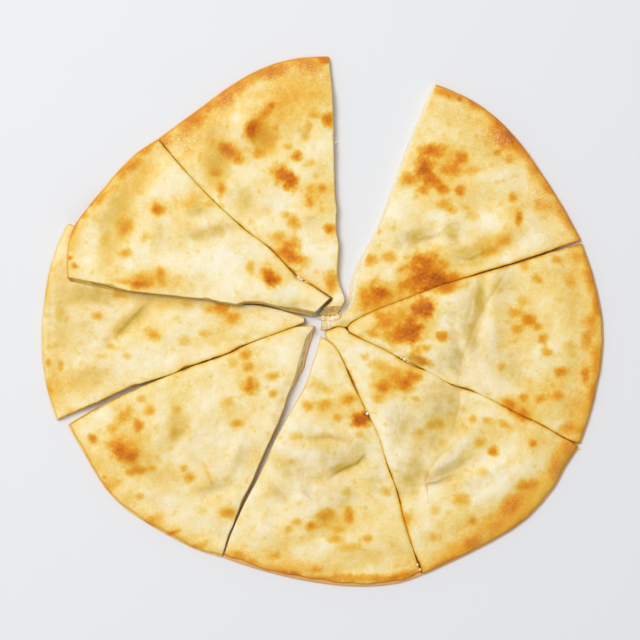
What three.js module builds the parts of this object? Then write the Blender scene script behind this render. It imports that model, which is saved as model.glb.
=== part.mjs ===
// Pagach: a thin round loaf of soft dough with a layer of potato and cheese baked inside it, cut into
// eight slices that lie where they were cut. One slice rides up on the edge of its neighbour, and one
// wedge-shaped gap is open. Millimetres, +Z up, +Y away from the reader; the origin is the middle of
// the loaf on the surface that it lies on.
//
// A slice is worked out on a grid: u runs from its left cut to its right cut, seen from the tip, and
// v from the tip to the rim. The dough is one solid, a top and a bottom crust that are sealed together
// at the rim with a pocket between them, and the filling is a second solid that fills the pocket.

import * as THREE from 'three';

// Heights above the surface.
const loafHeight = 10.4;      // top of the loaf over the filling
const rimHeight = 7.4;        // top of the sealed rim
const lipHeight = 3.2;        // lip of the bottom crust, which shows past the top crust
const edgeHeight = 1.2;       // outermost edge of the lip
const bottomCrust = 3;
const topCrust = 2.6;

// Distances in from the outermost edge of the rim.
const undercut = 1.3;         // the bottom face stops this far in, under the rounded lip
const lipWidth = 3;
const shoulderWidth = 5;      // rounded edge of the top crust, inside the lip
const sealWidth = 15;         // here the two crusts part and the pocket begins
const pocketRise = 12;        // the pocket takes this much more to reach its full height
const thinnestFilling = 2.4;  // height that the pocket keeps under a dip
const crownStart = 11;
const crownWidth = 22;        // the loaf rises from the rim to its full height over this

// The knife's work.
const knifeHalf = 0.3;        // what the knife took from each side of a cut
const pinchDepth = 1.1;       // the top crust is pressed down along a cut
const pinchWidth = 5;
const widestInset = 0.3;      // of a slice's width, where it is narrow at its tip
const tipLean = 1;            // lean of a tip's face, where the tip isn't torn
const fillingSlack = 0.35;    // clearance between the filling and the dough round it
const fillingRecess = 0.5;    // the filling stops this far short of the dough's cut faces
const ceilingLean = 0.75;     // how much of a cut face's lean the pocket's top stands back
const floorLean = 0.3;        // and the pocket's floor

// Unevenness of the surface.
const reliefLimit = 4;        // no bubble or dip passes this
const rippleHeight = 0.3;
const rippleLengths = [7, 11, 13, 6];      // distances over which the two ripples turn by a radian
const reliefFade = 14;        // bubbles and dips fade out over this much of the rim

// The slice that rides up on its neighbour.
const rideHeight = 9.9;       // its underside, where it lies on the neighbour
const rideTip = 4.6;          // its underside at the tip
const rideReach = 34;         // from the tip until it has its full height
const rideFade = 52;          // it comes down to the surface beside the neighbour over this
const coveredTop = 9;         // top of the neighbour where it is covered
const coverMargin = 4;        // the neighbour stays that low for this much past the covering edge
const coverFade = 9;          // and rises to its own height over this
const pivot = new THREE.Vector2(-12, 2);   // where the covered edge starts, at the loaf's middle

// Grid of a slice.
const columns = 12;
const columnCrowding = 0.45;  // columns stand closer together near the cuts
const rimRows = [0, 1, 3.1, 4.8, 8.5, sealWidth, 21.5, 29];   // distances in from the edge
const innerRows = 12;         // rows from there to the tip
const rowCrowding = 1.3;      // and those stand closer together towards the tip
const sealRow = innerRows + rimRows.length - 1 - rimRows.indexOf(sealWidth);
const lastFillingRow = sealRow - 1;

// Cuts as outlines from the tip to the rim, at the foot of the cut face. Neighbours that were hardly
// moved share a cut, or all of it but its start near the middle of the loaf.
const cut12 = [[7, 17], [-8, 27], [-19, 33.5], [-37, 52.5], [-58, 69], [-80, 89], [-101, 111],
  [-123, 137]];
const cut56 = [[3, -13.5], [11, -20.5], [18.5, -35], [26, -52], [34.5, -70], [43, -87], [49, -107],
  [57, -129.5], [62, -150], [69, -172], [76, -191]];
const cut67 = [[30, -13.5], [47, -21.5], [64, -31], [81, -38.5], [97, -47.5], [113, -52.5],
  [130, -60.5], [148, -70], [164, -77.5], [178, -85.5], [194, -94]];

// How far a cut face leans out at its foot, as [share of the cut from its tip, lean] stops.
const upright = [[0, 0.2], [1, 0.2]];

// A slice has its left and right cut and their leans, the rim between the cuts, and its bubbles and
// dips: [x, y, half length, half width, turn in degrees, rise].
const slices = [
  {
    left: [[-1.8, 4.6], [2.5, 9], [8, 14], [8.8, 16.6], [5, 18.9], ...cut12.slice(1)],
    leftLean: upright,
    right: [[11, 4], [13, 8.2], [16.6, 12], [18, 15.5], [16.3, 21.5], [14, 29], [13, 36],
      [13.3, 46], [13.6, 57], [12, 67], [11.6, 76], [12.1, 85], [10.8, 95], [10, 120], [9.5, 145],
      [8.5, 172], [6, 199]],
    rightLean: [[0, 0.9], [1, 0.5]],
    tipLean: 9,
    rim: [[-107.5, 148.5], [-91, 160.5], [-75, 172.5], [-57, 184], [-37, 193], [-16, 198]],
    relief: [
      [-56, 149, 13, 10, 50, 3.4], [-78, 141, 14, 12, 0, 1.5], [-78, 113, 20, 9, 80, -2.2],
      [-42, 135, 12, 7, 35, -2.2], [-52, 100, 22, 16, 0, 1], [-20, 165, 25, 15, 0, 0.8],
    ],
  },
  {
    left: [[-7.5, 3.2], [-14, 4.4], [-25, 6.8], [-35, 10], [-45, 12.3], [-57, 12.8], [-64, 10.8],
      [-74, 12.3], [-84, 14.5], [-100, 16], [-123, 18.5], [-148, 21.5], [-165, 25], [-190, 30]],
    leftLean: [[0, 4.4], [0.08, 4.4], [0.14, 1.4], [0.74, 1.4], [0.82, 4.2], [1, 3.4]],
    right: cut12,
    rightLean: [[0, 2.6], [0.09, 0.2], [1, 0.2]],
    rim: [[-190.5, 48], [-186.5, 67], [-177, 82], [-165, 98], [-152, 114], [-139, 126.5]],
    relief: [
      [-148, 88, 38, 9, 60, -2], [-158, 48, 18, 9, 80, -1.2], [-100, 55, 45, 22, 150, 1.2],
      [-115, 100, 20, 12, 45, 1],
    ],
    rides: true,
  },
  {
    left: [[-12.3, -0.9], [-20, -4], [-35, -9.6], [-50, -15], [-60, -19.2], [-70, -24.2], [-85, -29.5],
      [-100, -34.6], [-110, -38.8], [-122, -43], [-135, -47], [-150, -52.8], [-165, -60],
      [-180, -66.5], [-199, -75]],
    leftLean: [[0, 0.3], [1, 0.5]],
    right: [[-13, 2.2], [-29, 7.5], [-46, 11.2], [-64, 15], [-95, 29.5], [-125, 44], [-158, 59.5],
      [-191, 74]],
    rightLean: [[0, 0.8], [1, 0.8]],
    rim: [[-206, -53], [-210, -30], [-210.5, -8], [-209, 12], [-205.5, 35], [-199.5, 55]],
    relief: [
      [-140, 0, 24, 7, 35, -1.8], [-183, 5, 35, 9, 90, -1.2], [-160, -25, 25, 18, 0, 1],
      [-110, -5, 22, 12, 30, 1.2], [-75, -16, 22, 8, 20, -1],
    ],
    covered: true,
  },
  {
    left: [[-4.5, -4], [-6.2, -11], [-9, -20], [-11.8, -30], [-12.8, -35], [-16.5, -42], [-20, -48.5],
      [-24, -55], [-27, -65], [-31, -75.5], [-36, -87], [-41, -98], [-46, -109.5], [-50.3, -120],
      [-56, -131.5], [-61, -142], [-65.5, -152], [-69.5, -162], [-74.8, -177.8]],
    leftLean: [[0, 2.5], [0.06, 4.4], [0.18, 4.2], [0.27, 0.9], [0.45, 1.2], [0.75, 1.6], [0.85, 0.3],
      [1, 0.3]],
    right: [[-8, -3.4], [-20, -4.6], [-35, -10.2], [-50, -15.6], [-60, -19.8], [-70, -24.8],
      [-85, -30.1], [-100, -35.2], [-110, -39.4], [-122, -44], [-135, -49], [-150, -55.5],
      [-165, -62.8], [-178, -70], [-191, -78]],
    rightLean: [[0, 0.3], [0.75, 0.3], [0.85, 1.4], [1, 0.6]],
    rim: [[-95, -171.5], [-114, -162], [-133, -151], [-150, -139], [-164, -124], [-178, -101]],
    relief: [
      [-120, -78, 14, 11, 60, 1.6], [-106, -78, 14, 7, 70, -2.2], [-146, -96, 18, 11, -35, 1.8],
      [-130, -114, 22, 7, -20, -1.6], [-68, -106, 20, 8, 60, 1.6], [-86, -118, 16, 7, 60, 1.4],
      [-78, -127, 14, 5, 20, -1.4], [-50, -35, 22, 12, 30, 0.8],
    ],
  },
  {
    left: cut56,
    leftLean: upright,
    right: [[-1.5, -11.5], [-4, -22], [-8, -34], [-11, -44], [-16, -54], [-21, -63], [-27, -73.5],
      [-32.3, -83], [-36.8, -92], [-39.8, -99.5], [-44, -109], [-49.3, -120], [-55.6, -131.5],
      [-60.8, -142], [-65.3, -152], [-69.3, -162], [-74.6, -177.8]],
    rightLean: [[0, 0.6], [1, 0.2]],
    rim: [[58, -197], [37, -199.5], [15, -199], [-8, -196], [-30, -191.5], [-52, -185.5]],
    relief: [
      [4, -96, 20, 12, -10, 2.4], [16, -109, 18, 6, 20, -2.8], [-4, -130, 18, 12, 30, 2.2],
      [10, -146, 16, 9, 45, -2.4], [-22, -105, 24, 10, 70, 1], [30, -160, 25, 14, 0, 0.8],
    ],
  },
  {
    left: [[2.5, -9], [5, -8], [8.5, -6.3], [12, -5.4], [16.5, -5.9], [20, -8.4], [22, -9.5], ...cut67],
    leftLean: upright,
    right: cut56,
    rightLean: upright,
    rim: [[184, -109], [175, -125], [162, -141], [146, -155], [124, -168], [100, -180]],
    relief: [
      [104, -90, 24, 7, 50, 3], [84, -113, 12, 7, 60, 2.4], [96, -70, 16, 10, 80, -2.6],
      [66, -120, 16, 10, -10, -2.6], [105, -112, 28, 7, 30, -2], [60, -80, 12, 9, 0, -1.6],
      [48, -92, 16, 7, 80, 1.5], [58, -58, 16, 10, 0, 1], [140, -110, 28, 16, 45, 1.2],
    ],
  },
  {
    left: [[19.6, -5.3], [22.6, -0.8], [34, 5], [47, 10.5], [62, 16.4], [88, 26.3], [110, 32.8],
      [130, 38.8], [150, 44.8], [173, 52.4], [196, 58.5]],
    leftLean: [[0, 0.2], [1, 0.4]],
    right: [[20.2, -8.1], [22, -9.2], ...cut67],
    rightLean: upright,
    rim: [[203, 38], [208.5, 17], [211.5, -4], [211, -27], [207, -50], [201.5, -72]],
    relief: [
      [116, 10, 26, 5.5, 95, -3], [127, 0, 26, 8, 80, 2.8], [92, 12, 14, 9, 20, 1.8],
      [104, -24, 16, 7, 95, -2], [141, -32, 10, 14, 0, -1.8], [165, -10, 24, 16, 0, 1],
      [75, -22, 16, 7, -15, 1.4],
    ],
  },
  {
    left: [[0, 1], [6.5, 1], [12.5, 1.5], [16, 7], [19.4, 12], [20, 18], [20.4, 23],
      [21.5, 30], [25, 40], [30, 50], [36.3, 61], [41, 70.5], [45.5, 81], [52.5, 100], [60.3, 122],
      [69, 144], [78, 165], [84, 178.5]],
    leftLean: [[0, 3.6], [0.22, 4.2], [0.36, 2], [1, 1.5]],
    right: [[-1, -6.8], [4, -6.9], [8, -5.2], [12, -4.3], [17.5, -4.9], [20.3, 0.4], [34, 5.8],
      [47, 11], [62, 16.7], [88, 26.6], [110, 33.2], [130, 39.4], [150, 45.8], [173, 54],
      [195.5, 61.5]],
    rightLean: [[0, 0.2], [1, 0.5]],
    tipLean: 8,
    rim: [[99, 173], [119, 162.5], [137, 147.5], [153, 129.5], [167, 109], [181, 87]],
    relief: [
      [76, 60, 14, 9, 0, -2], [98, 68, 18, 7, 65, 1.6], [60, 82, 22, 14, 65, 1],
      [108, 108, 22, 12, 20, 1], [122, 88, 16, 9, 0, -1.2], [126, 50, 24, 6, 20, -1.4],
      [140, 68, 14, 9, 60, 1.4], [82, 150, 24, 16, 0, 0.8],
    ],
  },
];

const smoothstep = THREE.MathUtils.smoothstep;
const mix = THREE.MathUtils.lerp;

function curveThrough(points) {
  return new THREE.SplineCurve(points.map(([x, y]) => new THREE.Vector2(x, y)));
}

// The curves round a slice, and its lengths for turning millimetres into u and v.
function outlineOf(slice) {
  const left = curveThrough(slice.left);
  const right = curveThrough(slice.right);
  const rim = curveThrough([slice.left.at(-1), ...slice.rim, slice.right.at(-1)]);
  const tip = new THREE.LineCurve(left.getPointAt(0), right.getPointAt(0));
  const length = rim.getPointAt(0.5).distanceTo(tip.getPointAt(0.5));
  return { left, right, rim, tip, length };
}

// A point of the slice's plan: the blend of its four sides, less the blend of its four corners.
function planPoint(outline, u, v) {
  const a = outline.left.getPointAt(v);
  const b = outline.right.getPointAt(v);
  const t = outline.tip.getPointAt(u);
  const r = outline.rim.getPointAt(u);
  const corner = (key) => mix(
    mix(outline.tip.getPointAt(0)[key], outline.tip.getPointAt(1)[key], u),
    mix(outline.rim.getPointAt(0)[key], outline.rim.getPointAt(1)[key], u),
    v,
  );
  const blend = (key) => mix(a[key], b[key], u) + mix(t[key], r[key], v) - corner(key);
  return new THREE.Vector2(blend('x'), blend('y'));
}

// Height of the loaf without its bubbles, by the distance in from the edge: a rounded lip, the
// rounded shoulder of the top crust above it, and a slow rise to the full height.
function crownHeight(inward) {
  if (inward < lipWidth) {
    return mix(edgeHeight, lipHeight, Math.sqrt(1 - (1 - inward / lipWidth) ** 2));
  }
  const shoulder = Math.min((inward - lipWidth) / shoulderWidth, 1);
  const rounded = mix(lipHeight, rimHeight, Math.sqrt(1 - (1 - shoulder) ** 2));
  return rounded + (loafHeight - rimHeight) * smoothstep(inward, crownStart, crownStart + crownWidth);
}

// Bubbles and dips are bell-shaped mounds on turned ellipses, over a slow ripple.
function reliefAt(slice, x, y) {
  const [a, b, c, d] = rippleLengths;
  let sum = rippleHeight * (Math.sin(x / a + y / b) + Math.sin(y / d - x / c));
  for (const [cx, cy, halfLength, halfWidth, turn, rise] of slice.relief) {
    const angle = THREE.MathUtils.degToRad(turn);
    const along = ((x - cx) * Math.cos(angle) + (y - cy) * Math.sin(angle)) / halfLength;
    const across = ((y - cy) * Math.cos(angle) - (x - cx) * Math.sin(angle)) / halfWidth;
    sum += rise * Math.exp(-(along ** 2) - across ** 2);
  }
  return reliefLimit * Math.tanh(sum / reliefLimit);
}

// The riding slice's underside: full height over the covered neighbour, down to the surface beside it.
const coveredEdge = new THREE.Vector2(...slices[2].right.at(-1)).sub(pivot).normalize();
function rideAt(slice, x, y) {
  if (!slice.rides) {
    return 0;
  }
  const reach = Math.hypot(x - pivot.x, y - pivot.y);
  const full = mix(rideTip, rideHeight, smoothstep(reach, 0, rideReach));
  const aside = coveredEdge.y * (x - pivot.x) - coveredEdge.x * (y - pivot.y);
  return full * (1 - smoothstep(aside, 0, rideFade));
}

// How far a point of the covered slice is out from under the riding one, from 0 to 1.
const coverStart = new THREE.Vector2(...slices[1].left[0]);
const coverEnd = new THREE.Vector2(...slices[1].left.at(-1));
function openness(slice, x, y) {
  if (!slice.covered) {
    return 1;
  }
  const line = coverEnd.clone().sub(coverStart).normalize();
  const below = line.x * (y - coverStart.y) - line.y * (x - coverStart.x);
  return smoothstep(below, coverMargin, coverMargin + coverFade);
}

// Heights of a slice's four layers at a plan point.
function layerHeights(slice, x, y, inward, toCut) {
  const open = openness(slice, x, y);
  const bumps = reliefAt(slice, x, y) * open * smoothstep(inward, lipWidth, lipWidth + reliefFade);
  const crown = crownHeight(inward);
  const covered = Math.min(crown, coveredTop);
  const pinch = pinchDepth * Math.exp(-toCut / pinchWidth) * smoothstep(inward, 0, lipWidth * 2);
  const top = mix(covered, crown, open) + bumps - pinch;
  const pocket = Math.max(top - topCrust - bottomCrust, thinnestFilling);
  const ceiling = bottomCrust + pocket * smoothstep(inward, sealWidth, sealWidth + pocketRise);
  const ride = rideAt(slice, x, y);
  return { top: top + ride, ceiling: ceiling + ride, floor: bottomCrust + ride, bottom: ride };
}

// A cut face's lean at a share of the cut, between the stops on each side of it.
function leanAt(stops, share) {
  const next = Math.max(stops.findIndex(([place]) => place >= share), 1);
  const [start, before] = stops[next - 1];
  const [end, after] = stops[next];
  return mix(before, after, (share - start) / (end - start));
}

// A closed solid that grows by rows of points and the faces between them.
class Solid {
  constructor() {
    this.positions = [];
    this.faces = [];
  }

  point(x, y, z) {
    this.positions.push(x, y, z);
    return this.positions.length / 3 - 1;
  }

  // Faces between two rows. With x along the rows and y from the first to the second, they look up.
  band(first, second) {
    for (let k = 0; k + 1 < first.length; k += 1) {
      this.faces.push(first[k], first[k + 1], second[k + 1], first[k], second[k + 1], second[k]);
    }
  }

  // Faces over a whole grid of rows, looking up or down, with the same creases either way.
  sheet(rows, up) {
    const start = this.faces.length;
    for (let j = 0; j + 1 < rows.length; j += 1) {
      this.band(rows[j], rows[j + 1]);
    }
    for (let k = start; k < this.faces.length && !up; k += 3) {
      [this.faces[k + 1], this.faces[k + 2]] = [this.faces[k + 2], this.faces[k + 1]];
    }
  }

  // Faces over a flat grid, from its border alone.
  flat(rows, up) {
    const rightSide = rows.slice(1, -1).map((row) => row.at(-1));
    const leftSide = rows.slice(1, -1).map((row) => row[0]).reverse();
    const border = [...rows[0], ...rightSide, ...[...rows.at(-1)].reverse(), ...leftSide];
    const plan = border.map((index) => new THREE.Vector2(
      this.positions[3 * index],
      this.positions[3 * index + 1],
    ));
    for (const [a, b, c] of THREE.ShapeUtils.triangulateShape(plan, [])) {
      this.faces.push(border[a], border[up ? b : c], border[up ? c : b]);
    }
  }

  toMesh(name, material) {
    const geometry = new THREE.BufferGeometry();
    geometry.setAttribute('position', new THREE.Float32BufferAttribute(this.positions, 3));
    geometry.setIndex(this.faces);
    geometry.computeVertexNormals();
    const mesh = new THREE.Mesh(geometry, material);
    mesh.name = name;
    return mesh;
  }
}

// Distances in from the edge of all rows, from the tip to the rim.
function rowDistances(length) {
  const firstInner = rimRows.at(-1);
  const inner = Array.from({ length: innerRows }, (_, k) => (
    mix(length, firstInner, (k / innerRows) ** rowCrowding)
  ));
  return [...inner, ...[...rimRows].reverse()];
}

// One layer of a slice as rows of points. The lean share says how much of the cut faces' lean the
// layer stands back, and the insets how much more, at the cuts, the tip and the rim.
function layerRows(solid, slice, outline, layer, leanShare, insets, firstRow, lastRow) {
  const distances = rowDistances(outline.length).slice(firstRow, lastRow + 1);
  return distances.map((inward) => {
    const v = 1 - inward / outline.length;
    const width = outline.left.getPointAt(v).distanceTo(outline.right.getPointAt(v));
    const insetBy = (stops) => Math.min((insets.cut + leanAt(stops, v) * leanShare) / width, widestInset);
    const leftInset = insetBy(slice.leftLean);
    const rightInset = insetBy(slice.rightLean);
    const place = mix(insets.tip, outline.length - insets.rim, v) / outline.length;
    return Array.from({ length: columns + 1 }, (_, i) => {
      const s = i / columns;
      const u = s - (columnCrowding * Math.sin(2 * Math.PI * s)) / (2 * Math.PI);
      const { x, y } = planPoint(outline, mix(leftInset, 1 - rightInset, u), place);
      const toCut = width * Math.min(u, 1 - u);
      return solid.point(x, y, layer(layerHeights(slice, x, y, inward, toCut)));
    });
  });
}

const tipLeanOf = (slice) => slice.tipLean ?? tipLean;
const leftOf = (rows) => rows.map((row) => row[0]);
const rightOf = (rows) => rows.map((row) => row.at(-1));

function doughOf(slice, outline, name) {
  const solid = new Solid();
  const rimRow = innerRows + rimRows.length - 1;
  const build = (layer, lean, rim, lastRow) => layerRows(
    solid, slice, outline, layer, lean, { cut: knifeHalf, tip: lean * tipLeanOf(slice), rim }, 0, lastRow,
  );
  const top = build((z) => z.top, 1, 0, rimRow);
  const bottom = build((z) => z.bottom, 0, undercut, rimRow);
  const floor = build((z) => z.floor, floorLean, 0, sealRow);
  const ceiling = build((z) => z.ceiling, ceilingLean, 0, sealRow - 1);
  ceiling.push(floor[sealRow]);

  solid.sheet(top, true);
  solid.sheet(ceiling, false);
  if (slice.rides) {
    solid.sheet(floor, true);
    solid.sheet(bottom, false);
  } else {
    solid.flat(floor, true);
    solid.flat(bottom, false);
  }
  solid.band(ceiling[0], top[0]);
  solid.band(bottom[0], floor[0]);
  solid.band(top[rimRow], bottom[rimRow]);

  const pocketTop = top.slice(0, sealRow + 1);
  const pocketBottom = bottom.slice(0, sealRow + 1);
  solid.band(leftOf(pocketTop), leftOf(ceiling));
  solid.band(leftOf(floor), leftOf(pocketBottom));
  solid.band(rightOf(ceiling), rightOf(pocketTop));
  solid.band(rightOf(pocketBottom), rightOf(floor));

  // Where the pocket ends, the cut faces fan out from its last point.
  const next = sealRow + 1;
  for (const side of [0, columns]) {
    const seam = floor[sealRow][side];
    const fan = [top[sealRow], top[next], bottom[next], bottom[sealRow]].map((row) => row[side]);
    for (let k = 0; k < 3; k += 1) {
      const turned = side === 0 ? [fan[k], fan[k + 1]] : [fan[k + 1], fan[k]];
      solid.faces.push(seam, ...turned);
    }
  }
  solid.band(leftOf(top.slice(next)), leftOf(bottom.slice(next)));
  solid.band(rightOf(bottom.slice(next)), rightOf(top.slice(next)));
  return solid.toMesh(name, new THREE.MeshStandardMaterial({
    color: 0xe9d09a,
    roughness: 0.72,
    metalness: 0,
  }));
}

function fillingOf(slice, outline, name) {
  const solid = new Solid();
  const build = (layer, lean) => layerRows(
    solid, slice, outline, layer, lean,
    { cut: knifeHalf + fillingRecess, tip: fillingRecess + lean * tipLeanOf(slice), rim: 0 },
    0, lastFillingRow,
  );
  const top = build((z) => z.ceiling - fillingSlack, ceilingLean);
  const bottom = build((z) => z.floor + fillingSlack, floorLean);
  solid.sheet(top, true);
  if (slice.rides) {
    solid.sheet(bottom, false);
  } else {
    solid.flat(bottom, false);
  }
  solid.band(bottom[0], top[0]);
  solid.band(top.at(-1), bottom.at(-1));
  solid.band(leftOf(top), leftOf(bottom));
  solid.band(rightOf(bottom), rightOf(top));
  return solid.toMesh(name, new THREE.MeshStandardMaterial({
    color: 0xf3e3ae,
    roughness: 0.6,
    metalness: 0,
  }));
}

const pagach = new THREE.Group();
slices.forEach((slice, index) => {
  const outline = outlineOf(slice);
  pagach.add(doughOf(slice, outline, `slice_${index + 1}_dough`));
  pagach.add(fillingOf(slice, outline, `slice_${index + 1}_filling`));
});

export default pagach;
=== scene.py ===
import math
import bpy
import numpy as np
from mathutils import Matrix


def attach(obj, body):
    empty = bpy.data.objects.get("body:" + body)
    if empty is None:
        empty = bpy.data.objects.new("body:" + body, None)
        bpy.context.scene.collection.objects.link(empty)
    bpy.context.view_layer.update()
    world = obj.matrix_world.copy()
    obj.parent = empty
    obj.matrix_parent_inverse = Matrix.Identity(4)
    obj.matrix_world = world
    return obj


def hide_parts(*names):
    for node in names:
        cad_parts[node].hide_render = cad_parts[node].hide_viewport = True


# Pagach, a thin filled loaf in eight slices, dressed over its plain solids. Lengths are in millimetres
# until a mesh is made.
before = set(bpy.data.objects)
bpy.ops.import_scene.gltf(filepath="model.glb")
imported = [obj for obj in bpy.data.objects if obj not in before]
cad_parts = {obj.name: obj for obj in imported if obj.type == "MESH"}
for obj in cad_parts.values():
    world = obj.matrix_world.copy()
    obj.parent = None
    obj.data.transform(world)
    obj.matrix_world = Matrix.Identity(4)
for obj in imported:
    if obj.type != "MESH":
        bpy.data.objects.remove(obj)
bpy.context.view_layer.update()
metresPerMm = 0.001


def smoothStep(value, low, high):
    # 0 below low, 1 above high, 3t^2 - 2t^3 between them
    share = np.clip((value - low) / (high - low), 0, 1)
    return share * share * (3 - 2 * share)


def mix(first, second, share):
    return first + (second - first) * share


def bell(value, height, middle, width):
    return height * np.exp(-((value - middle) / width) ** 2)


def softNoise(x, y, grain, seed):
    # Gradient noise, about -1 to 1: random slopes on a repeating square lattice of that grain, turned at
    # random, whose four nearest planes are blended with the weight 6t^5 - 15t^4 + 10t^3.
    cells, shift, gain = 64, 500, 1.5
    draw = np.random.default_rng(seed)
    turn = draw.uniform(0, 2 * np.pi)
    slope = draw.uniform(0, 2 * np.pi, (cells, cells))
    across = (x * np.cos(turn) - y * np.sin(turn)) / grain + shift
    up = (x * np.sin(turn) + y * np.cos(turn)) / grain + shift
    column, row = np.floor(across).astype(int), np.floor(up).astype(int)
    fx, fy = across - column, up - row
    wx, wy = (f ** 3 * (f * (f * 6 - 15) + 10) for f in (fx, fy))

    def plane(dx, dy):
        angle = slope[(column + dx) % cells, (row + dy) % cells]
        return np.cos(angle) * (fx - dx) + np.sin(angle) * (fy - dy)

    near = mix(plane(0, 0), plane(1, 0), wx)
    far = mix(plane(0, 1), plane(1, 1), wx)
    return gain * mix(near, far, wy)


def layeredNoise(x, y, grain, seed, layers=3):
    # Noise of that grain plus finer layers, each of half the grain and half the height.
    return sum(0.5 ** k * softNoise(x, y, grain * 0.5 ** k, seed + k) for k in range(layers))


spotEdge = {
    "fade": (0.1, 1.5),        # from full to nothing, in half sizes
    "frays": ((0.34, 6.5), (0.2, 2.6)),  # (share, grain) of the noises that fray it
}


def turned(x, y, cx, cy, halfLength, halfWidth, turn=0):
    # How far along and across a turned ellipse a point is, in its half sizes.
    angle = math.radians(turn)
    lengthwise = ((x - cx) * math.cos(angle) + (y - cy) * math.sin(angle)) / halfLength
    across = ((y - cy) * math.cos(angle) - (x - cx) * math.sin(angle)) / halfWidth
    return lengthwise, across


def spotField(x, y, spots, fray, seed):
    # A spot is a turned ellipse: strength * (1 - smoothStep of d), where d is the distance from its middle
    # in half sizes, frayed by noise. Spots join as 1 - product(1 - spot).
    ragged = fray * sum(share * softNoise(x, y, grain, seed + k)
                        for k, (share, grain) in enumerate(spotEdge["frays"]))
    clear = np.ones_like(x)
    for *ellipse, strength in spots:
        apart = np.hypot(*turned(x, y, *ellipse)) + ragged
        clear *= 1 - strength * (1 - smoothStep(apart, *spotEdge["fade"]))
    return 1 - clear


loaf = {
    "loafHeight": 10.4,        # top over the filling
    "rimHeight": 7.4,
    "lipHeight": 3.2,          # lip of the bottom crust, which shows past the top crust
    "edgeHeight": 1.2,
    "bottomCrust": 3,
    "topCrust": 2.6,
    "undercut": 1.3,
    "lipWidth": 3,
    "lipWander": 0.45,         # how much that varies round the rim
    "thinnestLip": 0.5,
    "shoulderWidth": 5,
    "sealWidth": 15,           # where the two crusts part
    "pocketRise": 12,
    "thinnestFilling": 2.4,
    "crownStart": 11,
    "crownWidth": 22,
    "knifeHalf": 0.2,
    "sharedGap": (0.02, 0.22), # between slices that were hardly moved, where they touch and where they part
    "pinchDepth": 1.1,         # the top crust is pressed down along a cut
    "pinchWidth": 5,
    "widestInset": 0.3,
    "fillingSlack": 0.35,
    "fillingRecess": 0.5,
    "ceilingLean": 0.75,
    "floorLean": 0.3,
    "reliefLimit": 4,
    "rippleHeight": 0.3,
    "rippleLengths": (7, 11, 13, 6),
    "reliefFade": 14,
    "tipLean": 1,              # how far the face of a tip leans, where a slice doesn't say
    "columnCrowding": 0.45,
    "fineColumns": 192,
    "coarseColumns": 24,
    "rowSpacing": 0.9,
    "rimRowsFrom": 29,         # closer rows from here out to the seal, to the lip and to the edge
    "lipRowsFrom": 8,
    "rimRows": (17, 11, 25),
    "fillingRowsShort": 4,     # the filling ends this many rows before the seal
    "wallSteps": 5,            # rings down a crust's cut
    "oozeSteps": 6,            # and down the filling's
    "edgeRound": 0.8,          # the top's cut edge is softened over this
    "edgeDrop": (0.06, 0.3, 0.45),  # and drops by this where slices touch, where they part, at a free cut
    "cutWobble": 0.15,         # how much a knife's line wanders
    "skinHeight": 0.22,        # fine unevenness of the skin
    "skinRimFade": 7,          # none of it at the rim and at a cut, and all of it from here in
    "skinCutFade": 3,
    "blisterHeight": 0.45,     # browned spots stand up by this
    "seamReach": 6,            # a place listed on a shared cut counts this far
    "seamElsewhere": 0.3,      # parted and brown away from them all
    "crumbDepth": 0.3,         # pits in the cut dough
    "oozeHeight": 0.35,        # the filling swells between the crusts
}

fold = {
    "step": (-1.2, 1),         # from valley to ridge, across the fold's edge
    "valley": -0.5,            # of the rise
    "hollowMiddle": -1,        # the shaded foot, across the fold's edge
    "hollowWidth": 1.3,
    "deepRise": 2.2,           # a fold this high has its foot all in shade
    "shade": 0.45,
}

riding = {
    "height": 9.9,             # of its underside along the covered edge
    "tipHeight": 4.6,
    "reach": 34,               # from the pivot out to the full height
    "fade": 52,                # from the covered edge to where it lies flat
    "coveredTop": 9,           # the slice below is pressed down to this
    "coverMargin": 4,
    "coverFade": 9,
    "pivot": (-12, 2),         # where the riding slice starts to climb
}

cut12 = [(7, 17), (-8, 27), (-19, 33.5), (-37, 52.5), (-58, 69), (-80, 89), (-101, 111), (-123, 137)]
cut56 = [
    (3, -13.5), (11, -20.5), (18.5, -35), (26, -52), (34.5, -70), (43, -87), (49, -107), (57, -129.5),
    (62, -150), (69, -172), (76, -191),
]
cut67 = [
    (30, -13.5), (47, -21.5), (64, -31), (81, -38.5), (97, -47.5), (113, -52.5), (130, -60.5), (148, -70),
    (164, -77.5), (178, -85.5), (194, -94),
]
cut78 = [(34, 5.2), (47, 10.8), (62, 16.5), (75, 21.6), (88, 26.4), (98, 29.6), (108, 32.6)]
upright = [(0, 0.1), (1, 0.1)]

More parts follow.
